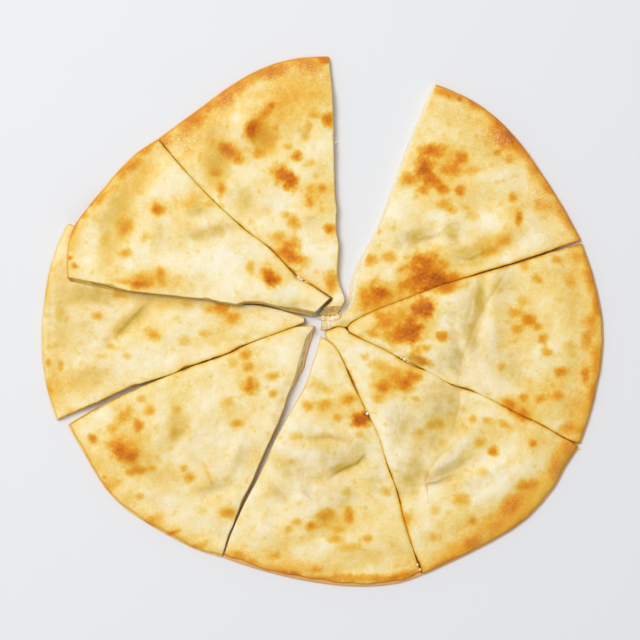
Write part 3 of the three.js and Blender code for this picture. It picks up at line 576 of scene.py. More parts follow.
slice7 = {
    "left": [(19, -5.2), (22.6, -1), *cut78, (130, 38.9), (150, 44.8), (173, 52.3), (196, 58.7)],
    "leftLean": [(0, 0.2), (1, 0.4)],
    "right": [(19.8, -7.6), (22, -9.3), *cut67],
    "rightLean": upright, "shared": ("left", "right"),
    "rim": [(203, 38), (208.5, 17), (211.5, -4), (211, -27), (207, -50), (201.5, -72)],
    "relief": [
        (116, 10, 26, 5.5, 95, -3), (127, 0, 26, 8, 80, 2.8), (92, 12, 14, 9, 20, 1.8),
        (104, -24, 16, 7, 95, -2), (141, -32, 10, 14, -1.8), (165, -10, 24, 16, 1),
        (75, -22, 16, 7, -15, 1.4),
    ],
    "brown": [
        (75, 10, 9, 8, 40, 0.8), (79, 7, 4, 6, 0.5), (62, -10, 14, 8, 15, 0.66), (68, -6, 7, 8, 0.6),
        (72, -22, 5, 6, 0.35), (93, 25, 9, 5, 15, 0.6), (90, -11, 5, 4.6, 0.6), (43, 5, 6, 4, 0.32),
        (47, -3, 6, 4, 0.32), (37, -10, 5, 3.6, 0.38), (28, -12, 4, 3, 0.28), (55, 3, 14, 9, 20, 0.3),
        (78, -20, 4, 3, 0.4), (73, -29, 9, 3, -22, 0.8), (154, 0, 5, 5, 0.56), (145, 7, 6, 4.4, 0.4),
        (146, -6, 5, 4, 0.34), (161, -4, 4, 3, 0.38), (165, -13, 4.4, 4, 0.38), (168, -23, 4.4, 4, 0.38),
        (152, 41, 5, 4, 0.28), (176, 46, 4.4, 3.4, 0.38), (160, 31, 4.4, 3.4, 0.3),
        (178, -38, 4.6, 4.2, 0.54), (134, -34, 3.6, 3, 0.34), (141, -62, 6, 3.6, -25, 0.6),
        (150, -69, 5, 3.4, 0.46), (151, -57, 4, 3, 0.36), (163, -58, 4.4, 3.6, 0.36), (176, -56, 5, 4, 0.38),
        (150, 15, 5, 4, 0.24), (186, 30, 5, 5, 0.22), (185, -20, 5, 5, 0.22),
    ],
    "warm": [
        (192, -8, 14, 64, 0.12), (62, 0, 28, 17, 20, 0.26), (152, 0, 20, 20, 0.18), (170, -50, 26, 22, 0.2),
        (95, 27, 14, 8, 15, 0.26), (150, -66, 20, 8, -25, 0.22), (168, 30, 22, 16, 0.16),
        (192, -70, 14, 18, 0.2),
    ],
    "faceOchre": ((1, 1), (1, 1)), "faceBrown": ((1, 1), (1, 1)), "rimGlow": 0.75, "flour": 0.35,
    "lip": 0.45, "lipTan": 0.8, "crease": 0.4,
    "shade": [
        (120, -15, 24, 40, 0.18), (117, 14, 5, 18, -5, 0.95), (110, -10, 5, 16, 12, 0.9),
        (101, -30, 6, 14, 5, 0.85), (134, 30, 7, 12, -35, 0.5), (90, -30, 12, 10, 0.4),
        (143, -35, 10, 14, 0.4), (97, -12, 6, 12, 0.35), (70, -30, 12, 4, -22, 0.6),
    ],
    "folds": [
        ([(142, 41), (133, 28), (124, 15), (117, 2), (111, -14), (105, -28), (103, -46)], 14, 2.2),
        ([(120, 34), (114, 22), (112, 6), (106, -8)], 5, 1.1),
    ],
    "rimSpots": [
        (201, 33, 5, 11, 10, 0.36), (206, 12, 4, 10, 0.36), (202, -3, 6, 9, 0.34), (198, -14, 5, 8, 0.3),
        (197, -40, 3.4, 7, 0.54), (205, -30, 4, 14, 0.36), (203, -55, 4, 12, 10, 0.36),
        (185, -80, 7, 5, 0.38), (190, 48, 8, 5, 0.3),
    ],
    "yellow": [
        (118, 16, 4.4, 15, 0.95), (112, -6, 4, 12, 15, 0.8), (104, -28, 5, 14, 5, 0.6),
        (129, 20, 6, 12, -15, 0.6), (97, 5, 9, 5, 0.4), (42, -18, 20, 3, -24, 0.6), (146, -34, 10, 14, 0.35),
        (65, -26, 10, 4, -20, 0.5), (122, -55, 10, 6, -20, 0.4), (138, 25, 5, 9, -15, 0.4),
        (94, -28, 7, 8, 0.35),
    ],
    "pale": [
        (124, -4, 6, 22, 10, 1.0), (92, -1, 10, 6, 0.5), (40, -14, 14, 3, -22, 0.6), (141, 14, 6, 7, 0.4),
        (120, -36, 9, 9, 0.7), (90, -34, 6, 5, 0.3), (132, -50, 12, 6, 0.5), (107, 6, 3, 6, 0.5),
        (130, 34, 8, 4, 10, 0.4), (165, 12, 8, 8, 0.3), (160, -38, 8, 8, 0.3), (92, 17, 6, 4, 0.4),
    ],
    "nicks": [
        (66, -30, 6, 0.9), (104, -49, 6, 0.4), (193, -94, 3, 1.2), (190, -92, 5, 0.5), (150, 45, 4, 0.5),
    ],
}

slice8 = {
    "left": [
        (0, 1), (6.5, 1), (12.5, 1.5), (16, 7), (19.4, 12), (20, 18), (20.4, 23), (21.5, 30), (25, 40),
        (30, 50), (36.3, 61), (41, 70.5), (45.5, 81), (52.5, 100), (60.3, 122), (69, 144), (78, 165),
        (84, 178.5),
    ],
    "leftLean": [(0, 3.6), (0.22, 4.2), (0.36, 2), (1, 1.5)],
    "right": [
        (-1, -6.8), (4, -6.9), (8, -5.2), (12, -4.3), (18.4, -4.8), (22.4, -0.9), *cut78, (130, 39.2),
        (150, 45.2), (173, 53), (195.5, 60.4),
    ],
    "rightLean": [(0, 0.2), (1, 0.5)],
    "shared": ("right",), "tipLean": 8,
    "rim": [(99, 173), (119, 162.5), (137, 147.5), (153, 129.5), (167, 109), (181, 87)],
    "relief": [
        (76, 60, 14, 9, -2), (98, 68, 18, 7, 65, 1.6), (60, 82, 22, 14, 65, 1), (108, 108, 22, 12, 20, 1),
        (122, 88, 16, 9, -1.2), (126, 50, 24, 6, 20, -1.4), (140, 68, 14, 9, 60, 1.4),
        (82, 150, 24, 16, 0.8),
    ],
    "brown": [
        (82, 127, 9, 5.4, 0.66), (77, 114, 7, 9, 0.78), (66, 106, 8, 5, 10, 0.5), (84, 104, 6, 6.4, 0.6),
        (90, 98, 5, 4.4, 0.5), (103, 97, 4, 4.4, 0.58), (104, 122, 5.4, 4.4, 0.54), (97, 113, 9, 6, 0.44),
        (92, 87, 6, 4.4, 0.36), (112, 112, 6, 3, 0.26), (98, 83, 3.4, 3, 0.32), (76, 98, 5, 4, 0.4),
        (143, 92, 4, 4, 0.4), (147, 77, 3, 5.6, 0.56), (165, 86, 7, 5, 0.3), (137, 60, 6, 5, 0.3),
        (125, 51, 7, 4, 20, 0.3), (131, 126, 3, 2.6, 0.42), (140, 121, 5, 4, 0.28), (37, 46, 6, 5, 0.36),
        (50, 48, 6, 5, 0.34), (44, 21, 6, 4.6, 0.6), (38, 20, 14, 10, 15, 0.5), (42, 67, 2.4, 2.2, 0.4),
        (78, 37, 15, 14, 0.7), (92, 29, 15, 7, 15, 0.6), (90, 27, 9, 3.4, 10, 0.5),
        (70, 28, 12, 6, 20, 0.45), (72, 46, 8, 5, 0.35), (82, 31, 9, 5, 20, 0.5), (112, 78, 5, 5, 0.16),
    ],
    "warm": [
        (130, 58, 20, 10, 25, 0.26), (144, 80, 9, 16, 0.22), (116, 90, 20, 13, 20, 0.14),
        (100, 150, 32, 15, -25, 0.18), (166, 92, 16, 18, -30, 0.14), (86, 110, 28, 24, 0.26),
        (45, 16, 24, 9, 20, 0.34), (95, 122, 24, 10, 0.16), (78, 35, 34, 18, 15, 0.2),
        (136, 130, 20, 14, -45, 0.2),
    ],
    "faceOchre": ((0, 0), (1, 1)), "faceBrown": ((0, 0.2), (1, 1)), "rimGlow": 0.8, "flour": 1.0, "lip": 0.4,
    "lipTan": 0.7, "crease": 0.5,
    "shade": [
        (72, 63, 14, 7, 10, 0.5), (97, 66, 7, 12, 0.45), (110, 50, 16, 6, 15, 0.4), (16, -1, 7, 3, 10, 0.5),
        (8, -5.5, 5, 1.6, 15, 0.8), (60, 57, 8, 5, 0.3),
    ],
    "folds": [
        ([(62, 68), (72, 61), (86, 64), (98, 74)], 9, 0.8), ([(96, 50), (110, 46), (126, 54)], 8, 0.7),
    ],
    "rimSpots": [
        (137, 139, 14, 8, -45, 0.6), (115, 163, 7, 4, -30, 0.36), (95, 169, 10, 3, -20, 0.42),
        (103, 166, 2, 2, 0.6), (160, 113, 9, 5, -52, 0.38), (170, 100, 7, 4, -60, 0.38),
        (185, 76, 5, 12, 25, 0.36), (150, 128, 10, 4, -50, 0.3), (142, 138, 6, 4, -45, 0.6),
        (132, 147, 5, 3, -45, 0.45),
    ],
    "yellow": [
        (72, 63, 13, 6, 10, 0.85), (97, 66, 6, 11, 0.75), (60, 57, 9, 5, 0.4), (88, 90, 8, 6, 0.25),
        (104, 52, 9, 4, 10, 0.75), (112, 42, 9, 3, 15, 0.7), (48, 73, 8, 6, 0.4), (122, 44, 8, 3, 15, 0.4),
        (88, 55, 6, 5, 0.4), (72, 75, 10, 6, 0.3),
    ],
    "pale": [
        (60, 88, 14, 10, 60, 0.8), (123, 73, 10, 9, 0.85), (120, 108, 12, 8, 0.35), (51, 36, 6, 5, 0.6),
        (4, -2, 6, 4, 1), (152, 60, 14, 5, 20, 0.5), (85, 79, 8, 4, 0.6), (92, 143, 14, 9, 0.35),
        (24, 32, 4, 20, -20, 0.9), (40, 72, 4, 26, -22, 0.8), (60, 122, 3.5, 30, -23, 0.7),
        (76, 160, 3, 18, -23, 0.7), (62, 60, 5, 4, 0.3),
    ],
    "nicks": [(150, 45.5, 4, 0.4), (120, 37, 5, 0.3), (180, 56, 6, 0.4)],
}

slices = [slice1, slice2, slice3, slice4, slice5, slice6, slice7, slice8]


def curveTable(points, samples=1500):
    # A uniform Catmull-Rom curve through the points, its ends doubled: for weight w between p1 and p2 with
    # slopes (p2 - p0) / 2 and (p3 - p1) / 2, the cubic Hermite blend. Returned with its share of length.
    knots = np.array(points, float)
    place = np.linspace(0, len(knots) - 1, samples)
    start = np.minimum(place.astype(int), len(knots) - 2)
    w = (place - start)[:, None]
    p0, p1 = knots[np.maximum(start - 1, 0)], knots[start]
    p2, p3 = knots[start + 1], knots[np.minimum(start + 2, len(knots) - 1)]
    s1, s2 = (p2 - p0) / 2, (p3 - p1) / 2
    path = ((2 * p1 - 2 * p2 + s1 + s2) * w ** 3 + (-3 * p1 + 3 * p2 - 2 * s1 - s2) * w ** 2 + s1 * w + p1)
    travelled = np.concatenate([[0], np.cumsum(np.hypot(*np.diff(path, axis=0).T))])
    return path, travelled / travelled[-1]


def along(table, share):
    # The curve's x and y at shares of its length.
    path, travelled = table
    return np.interp(share, travelled, path[:, 0]), np.interp(share, travelled, path[:, 1])


def outlineOf(part):
    left, right = curveTable(part["left"]), curveTable(part["right"])
    rim = curveTable([part["left"][-1], *part["rim"], part["right"][-1]])
    tip = curveTable([part["left"][0], part["right"][0]])
    length = math.dist(along(rim, 0.5), along(tip, 0.5))
    return {"left": left, "right": right, "rim": rim, "tip": tip, "length": length}


def planPoint(outline, u, v):
    # Coons patch: the blend of the two cuts by u plus that of tip and rim by v, less the corners' blend.
    places = (("left", v), ("right", v), ("tip", u), ("rim", u))
    sides = [along(outline[side], share) for side, share in places]
    corners = [along(outline[row], end) for row in ("tip", "rim") for end in (0.0, 1.0)]
    found = []
    for axis in (0, 1):
        a, b, t, r = (side[axis] for side in sides)
        tipLeft, tipRight, rimLeft, rimRight = (corner[axis] for corner in corners)
        corner = mix(mix(tipLeft, tipRight, u), mix(rimLeft, rimRight, u), v)
        found.append(mix(a, b, u) + mix(t, r, v) - corner)
    return found


def crownHeight(inward, lipWidth):
    # Quarter-round lip, then the top crust's quarter-round shoulder, then a smooth rise to full height.
    lipRound = np.sqrt(1 - np.clip(1 - inward / lipWidth, 0, 1) ** 2)
    lip = mix(loaf["edgeHeight"], loaf["lipHeight"], lipRound)
    shoulder = np.clip((inward - lipWidth) / loaf["shoulderWidth"], 0, 1)
    rounded = mix(loaf["lipHeight"], loaf["rimHeight"], np.sqrt(1 - (1 - shoulder) ** 2))
    crown = smoothStep(inward, loaf["crownStart"], loaf["crownStart"] + loaf["crownWidth"])
    return np.where(inward < lipWidth, lip, rounded + (loaf["loafHeight"] - loaf["rimHeight"]) * crown)


def reliefAt(part, x, y):
    # Two slow ripples plus bell-shaped mounds on turned ellipses, held within the limit by a tanh.
    a, b, c, d = loaf["rippleLengths"]
    total = loaf["rippleHeight"] * (np.sin(x / a + y / b) + np.sin(y / d - x / c))
    for *ellipse, rise in part["relief"]:
        lengthwise, across = turned(x, y, *ellipse)
        total = total + rise * np.exp(-lengthwise ** 2 - across ** 2)
    return loaf["reliefLimit"] * np.tanh(total / loaf["reliefLimit"])


def rideAt(part, x, y):
    # The riding slice's underside: its height by the distance from the pivot, down to 0 by the distance
    # from the covered edge.
    if not part.get("rides"):
        return np.zeros_like(x)
    px, py = riding["pivot"]
    edge = np.array(slice3["right"][-1]) - (px, py)
    edge = edge / np.hypot(*edge)
    away = smoothStep(np.hypot(x - px, y - py), 0, riding["reach"])
    full = mix(riding["tipHeight"], riding["height"], away)
    aside = edge[1] * (x - px) - edge[0] * (y - py)
    return full * (1 - smoothStep(aside, 0, riding["fade"]))


def openness(part, x, y):
    # How far out from under the riding slice a point is, from 0 to 1.
    if not part.get("covered"):
        return np.ones_like(x)
    start, end = np.array(slice2["left"][0]), np.array(slice2["left"][-1])
    line = (end - start) / np.hypot(*(end - start))
    below = line[0] * (y - start[1]) - line[1] * (x - start[0])
    return smoothStep(below, riding["coverMargin"], riding["coverMargin"] + riding["coverFade"])


def seamAt(x, y):
    # How parted and how brown a shared cut is there: the listed places' mean, weighted by
    # exp(-(distance / reach)^2), and a plain value far from all of them.
    weight = np.full_like(x, 1e-4)
    parted, brown = loaf["seamElsewhere"] * weight, loaf["seamElsewhere"] * weight
    for placeX, placeY, open, tone in seams:
        near = np.exp(-((x - placeX) ** 2 + (y - placeY) ** 2) / loaf["seamReach"] ** 2)
        weight, parted, brown = weight + near, parted + near * open, brown + near * tone
    return parted / weight, brown / weight


def foldRise(x, y, folds):
    # A fold's edge is a bent line. Left of it the skin stands up by rise * exp(-distance / width), right of
    # it lies a valley of half that, with a short smooth step between them, and both ends taper as the root
    # of a half sine wave. Returned with how much of a hollow its foot is.
    total, hollow = np.zeros_like(x), np.zeros_like(x)
    for points, width, rise in folds:
        corners = np.array(points, float)
        nearest, aside, place = np.full_like(x, np.inf), np.zeros_like(x), np.zeros_like(x)
        for k, (start, end) in enumerate(zip(corners, corners[1:])):
            run = end - start
            t = np.clip(((x - start[0]) * run[0] + (y - start[1]) * run[1]) / (run @ run), 0, 1)
            dx, dy = x - start[0] - t * run[0], y - start[1] - t * run[1]
            far = np.hypot(dx, dy)
            closer = far < nearest
            nearest = np.where(closer, far, nearest)
            aside = np.where(closer, far * np.sign(run[0] * dy - run[1] * dx), aside)
            place = np.where(closer, (k + t) / (len(corners) - 1), place)
        taper = np.sqrt(np.clip(np.sin(np.pi * place), 0, 1))
        across = mix(fold["valley"], 1, smoothStep(aside, *fold["step"]))
        total = total + rise * taper * across * np.exp(-np.abs(aside) / width)
        foot = bell(aside, rise / fold["deepRise"] * taper, fold["hollowMiddle"], fold["hollowWidth"])
        hollow = hollow + foot
    return total, hollow


def lipWidthAt(part, x, y):
    # The bottom crust's lip is wider and narrower round the rim.
    wander = 1 + loaf["lipWander"] * layeredNoise(x, y, 15, 151, 2)
    return np.maximum(loaf["lipWidth"] * part["lip"] * wander, loaf["thinnestLip"])


def layerHeights(part, x, y, inward, toCut):
    free = openness(part, x, y)
    bumps = reliefAt(part, x, y) * free
    bumps = bumps * smoothStep(inward, loaf["lipWidth"], loaf["lipWidth"] + loaf["reliefFade"])
    crown = crownHeight(inward, lipWidthAt(part, x, y))
    pinch = loaf["pinchDepth"] * np.exp(-toCut / loaf["pinchWidth"])
    pinch = pinch * smoothStep(inward, 0, loaf["lipWidth"] * 2)
    top = mix(np.minimum(crown, riding["coveredTop"]), crown, free) + bumps - pinch
    pocket = np.maximum(top - loaf["topCrust"] - loaf["bottomCrust"], loaf["thinnestFilling"])
    opened = smoothStep(inward, loaf["sealWidth"], loaf["sealWidth"] + loaf["pocketRise"])
    ride = rideAt(part, x, y)
    flat = np.zeros_like(x)
    return {"top": top + ride, "ceiling": loaf["bottomCrust"] + pocket * opened + ride,
            "floor": flat + loaf["bottomCrust"] + ride, "bottom": flat + ride}


def rowDistances(length):
    # Distances in from the rim's edge, from the tip outwards: closer together over the rim.
    start = loaf["rimRowsFrom"]
    inner = np.linspace(length, start, int((length - start) / loaf["rowSpacing"]))
    ends = (start, loaf["sealWidth"], loaf["lipRowsFrom"], 0)
    closer = [np.linspace(a, b, rows)[1:] for a, b, rows in zip(ends, ends[1:], loaf["rimRows"])]
    return np.concatenate([inner, *closer])


def layerGrid(part, outline, layer, lean, insets, distances, columns, wobble=0.0, seed=0):
    # One layer of a slice on its grid: x, y, z, the distances in from the rim and from the nearer cut, how
    # far the top's edge drops there, and whether that cut is shared.
    cutInset, tipInset, rimInset = insets
    shared = part.get("shared", ())
    v = (1 - distances / outline["length"])[:, None]
    ends = {side: along(outline[side], v) for side in ("left", "right")}
    width = np.hypot(ends["left"][0] - ends["right"][0], ends["left"][1] - ends["right"][1])
    inset, drop = {}, {}
    touch, parting, freeDrop = loaf["edgeDrop"]
    for side, (cutX, cutY) in ends.items():
        gap, drop[side], parted = loaf["knifeHalf"] + 0 * v, freeDrop + 0 * v, 1
        if side in shared:
            parted = np.clip(seamAt(cutX, cutY)[0] * (1 + 0.5 * layeredNoise(cutX, cutY, 6, 97, 2)), 0, 1)
            gap, drop[side] = mix(*loaf["sharedGap"], parted * lean), mix(touch, parting, parted)
        leanHere = np.interp(v, *zip(*part[side + "Lean"])) * lean * parted
        wander = wobble * gap / loaf["knifeHalf"] * (1 + layeredNoise(cutX, cutY, 7, seed + 3, 3))
        for x, y, radius, depth in part.get("nicks", []) if wobble else []:
            wander = wander + depth * np.exp(-((cutX - x) ** 2 + (cutY - y) ** 2) / radius ** 2)
        inset[side] = np.minimum((gap + cutInset + wander + leanHere) / width, loaf["widestInset"])
    s = np.linspace(0, 1, columns + 1)[None, :]
    u = s - loaf["columnCrowding"] * np.sin(2 * np.pi * s) / (2 * np.pi)
    place = mix(tipInset, outline["length"] - rimInset, v) / outline["length"]
    x, y = planPoint(outline, mix(inset["left"], 1 - inset["right"], u), place + 0 * u)
    inward = distances[:, None] + 0 * u
    toCut = width * np.minimum(u, 1 - u)
    return {"x": x, "y": y, "z": layerHeights(part, x, y, inward, toCut)[layer], "inward": inward,
            "toCut": toCut, "edgeDrop": np.where(u < 0.5, drop["left"], drop["right"]),
            "shared": np.where(u < 0.5, "left" in shared, "right" in shared) + 0.0}


class Shell:
    # Gathers the points, values and faces of one closed piece. painted holds new values for points that are
    # already there.
    def __init__(self):
        self.points, self.values, self.faces, self.painted, self.count = [], [], [], [], 0

    def add(self, x, y, z, **values):
        ids = self.count + np.arange(x.size).reshape(x.shape)
        self.points.append(np.stack([x.ravel(), y.ravel(), z.ravel()], 1))
        self.values.append({key: np.broadcast_to(value, x.shape).ravel() for key, value in values.items()})
        self.count += x.size
        return ids

    def xyz(self):
        return np.concatenate(self.points)

    def sheet(self, ids, up=True):
        # Quads over a grid of ids, facing up or down.
        quads = np.stack([ids[:-1, :-1], ids[:-1, 1:], ids[1:, 1:], ids[1:, :-1]], -1).reshape(-1, 4)
        self.faces.append(quads if up else quads[:, ::-1])

    def skirt(self, fine, coarse, step, up=True):
        # Many-sided faces between a fine row and the next, coarser row, one for each of its gaps.
        gaps = len(coarse) - 1
        runs = fine[np.arange(gaps)[:, None] * step + np.arange(step + 1)]
        faces = np.concatenate([runs, coarse[1:, None], coarse[:-1, None]], 1)
        self.faces.append(faces if up else faces[:, ::-1])

    def band(self, rings):
        # Quads round closed rings of ids, the highest ring first, facing outwards.
        after = np.roll(rings, -1, axis=1)
        self.faces.append(np.stack([rings[:-1], rings[1:], after[1:], after[:-1]], -1).reshape(-1, 4))

    def toObject(self, name, material, sharpAngle):
        mesh = bpy.data.meshes.new(name)
        mesh.vertices.add(self.count)
        mesh.vertices.foreach_set("co", (self.xyz() * metresPerMm).astype(np.float32).ravel())
        sizes = np.concatenate([np.full(len(faces), faces.shape[1]) for faces in self.faces])
        corners = np.concatenate([faces.ravel() for faces in self.faces])
        mesh.loops.add(len(corners))
        mesh.loops.foreach_set("vertex_index", corners.astype(np.int32))
        mesh.polygons.add(len(sizes))
        mesh.polygons.foreach_set("loop_start", (np.cumsum(sizes) - sizes).astype(np.int32))
        mesh.polygons.foreach_set("loop_total", sizes.astype(np.int32))
        mesh.update(calc_edges=True)
        for key in self.values[0]:
            field = mesh.attributes.new(key, "FLOAT", "POINT")
            value = np.concatenate([v[key] for v in self.values]).astype(np.float32)
            for ids, painted in self.painted:
                value[ids] = painted[key]
            field.data.foreach_set("value", value)
        mesh.validate()
        mesh.polygons.foreach_set("use_smooth", np.ones(len(mesh.polygons), bool))
        mesh.set_sharp_from_angle(angle=math.radians(sharpAngle))
        mesh.materials.append(material)
        made = bpy.data.objects.new(name, mesh)
        bpy.context.scene.collection.objects.link(made)
        return made


crustTone = {
    "ground": (0.15, 0.07, 0.05, 0.12),  # how baked the plain skin is, its clouds, mottling and freckles
    "frays": {"brown": 1.0, "warm": 0.5, "pale": 0.6, "yellow": 0.7, "shade": 0.6},  # how ragged
    "warmth": 0.8,
    "rimBells": ((0.2, 0, 14), (0.12, 4, 3.5)),  # browning round the rim: (height, middle, width)
    "cutGlow": (0.75, 0.9),    # browning along a shared cut: height and width
    "crease": (0.3, 0.7),      # a dark line in the crease past the lip, browning and painted shade: middle and width
    "flourBell": (0.9, 15, 10),
    "paleness": 0.6,
}


def skinValues(part, x, y, inward, toCut, shared, seed):
    # How baked, yellow and floury the top is, where painted shade lies on it, and where the lip shows, each
    # from 0 to 1. Tones join as 1 - product(1 - tone), and each is uneven by noise of its own grain.
    tone = crustTone
    mottle = layeredNoise(x, y, 9, 11, 4)
    cloud = layeredNoise(x, y, 34, 23, 2)
    spots = {**part, "brown": part["brown"] + part["rimSpots"]}
    brown, warm, pale, yellow, shade = (
        spotField(x, y, spots[name], fray, seed + step)
        for (name, fray), step in zip(tone["frays"].items(), (0, 5, 9, 13, 17)))
    rimGlow = sum(bell(inward, *rimBell) for rimBell in tone["rimBells"])
    rimGlow = part["rimGlow"] * rimGlow * (1 + 0.6 * layeredNoise(x, y, 12, 41, 3))
    glowHeight, glowWidth = tone["cutGlow"]
    cutGlow = glowHeight * shared * seamAt(x, y)[1] * np.exp(-toCut / glowWidth)
    cutGlow = cutGlow * (1 + 0.5 * layeredNoise(x, y, 5, 131, 2))
    lipWidth = lipWidthAt(part, x, y)
    # The crease line is browning and painted shade where the shoulder meets the lip.
    creaseMiddle, creaseWidth = tone["crease"]
    crease = bell(inward - lipWidth, part["crease"], creaseMiddle, creaseWidth)
    plain, clouds, mottling, freckles = tone["ground"]
    freckle = freckles * smoothStep(layeredNoise(x, y, 7.5, 57, 2), 0.25, 1.1)
    ground = np.clip(plain + clouds * cloud + mottling * mottle + freckle, 0, 1)
    # Soft tan spots add baking: the crust's own tone, and painted shade in its valleys.
    baked = 1 - (1 - ground) * (1 - brown) * (1 - warm * tone["warmth"]) * (1 - np.clip(rimGlow, 0, 0.6))
    baked = 1 - (1 - baked) * (1 - np.clip(cutGlow, 0, 0.8)) * (1 - crease)
    baked = baked + brown * 0.08 * layeredNoise(x, y, 2.4, 71, 2)
    # Pale spots lighten: pale, floury dough, and painted highlight on lit bubble sides, ridges and a cut
    # edge.
    baked = baked * (1 - tone["paleness"] * pale * (1 - brown))
    yellow = np.clip(yellow * (1 + 0.3 * mottle) + 0.1 * np.clip(cloud, 0, 1) + 0.9 * rimGlow, 0, 1)
    # Olive spots: painted shade in hollows and under the riding slice, and duller olive over wider
    # stretches.
    shade = shade * (1 + 0.3 * mottle)
    lip = part["lipTan"] * (1 - smoothStep(inward, lipWidth - 0.5, lipWidth + 0.2))
    flour = bell(inward, *tone["flourBell"]) * (0.6 + 0.7 * layeredNoise(x, y, 18, 83, 2))
    return {"baked": np.clip(baked, 0, 1), "yellow": yellow, "flour": part["flour"] * np.clip(flour, 0, 1),
            "shade": shade, "lip": lip, "brown": brown}


def ringOf(leftSide, tipRow, rightSide, rimRow):
    # A closed ring: in along the left cut, over the tip, out along the right cut, back along the rim.
    return np.concatenate([leftSide[::-1], tipRow[1:-1], rightSide, rimRow[::-1][1:-1]])


def faceTones(part, counts):
    # The faces' ochre and brown round a ring of left side, tip, right side and rim, both partly painted
    # shade on faces in shade. Each runs evenly from the tip to the rim along a cut and from cut to cut
    # along the tip; the rim has none. The ochre is patchy.
    left, tip, right, rim = counts
    step = np.arange(sum(counts)) + part["right"][0][0] * 40
    patchy = 1 - 0.65 * smoothStep(layeredNoise(step, 0 * step, 11, 301, 2), 0, 0.5)
    rows = []
    for (leftTip, leftRim), (rightTip, rightRim) in (part["faceOchre"], part["faceBrown"]):
        stretches = [(leftRim, leftTip, left), (leftTip, rightTip, tip), (rightTip, rightRim, right)]
        rows.append(np.concatenate([*(np.linspace(*stretch) for stretch in stretches), np.zeros(rim)]))
    return rows[0] * patchy, rows[1]


def wallRings(shell, upper, lower, steps, push, valuesAt):
    # Rings between two rings: straight blends by the share down, moved along the outward normal by
    # push(arc, share).
    points = shell.xyz()
    a, b = points[upper], points[lower]
    ahead = np.roll(a, -2, axis=0)[:, :2] - np.roll(a, 2, axis=0)[:, :2]
    ahead = ahead / np.maximum(np.hypot(*ahead.T), 1e-6)[:, None]
    arc = np.concatenate([[0], np.cumsum(np.hypot(*np.diff(a[:, :2], axis=0).T))])
    rings = [upper]
    for step in range(1, steps):
        share = step / steps
        moved = push(arc, share)
        x = mix(a[:, 0], b[:, 0], share) + ahead[:, 1] * moved
        y = mix(a[:, 1], b[:, 1], share) - ahead[:, 0] * moved
        rings.append(shell.add(x, y, mix(a[:, 2], b[:, 2], share), **valuesAt(share)))
    rings.append(lower)
    return np.stack(rings)


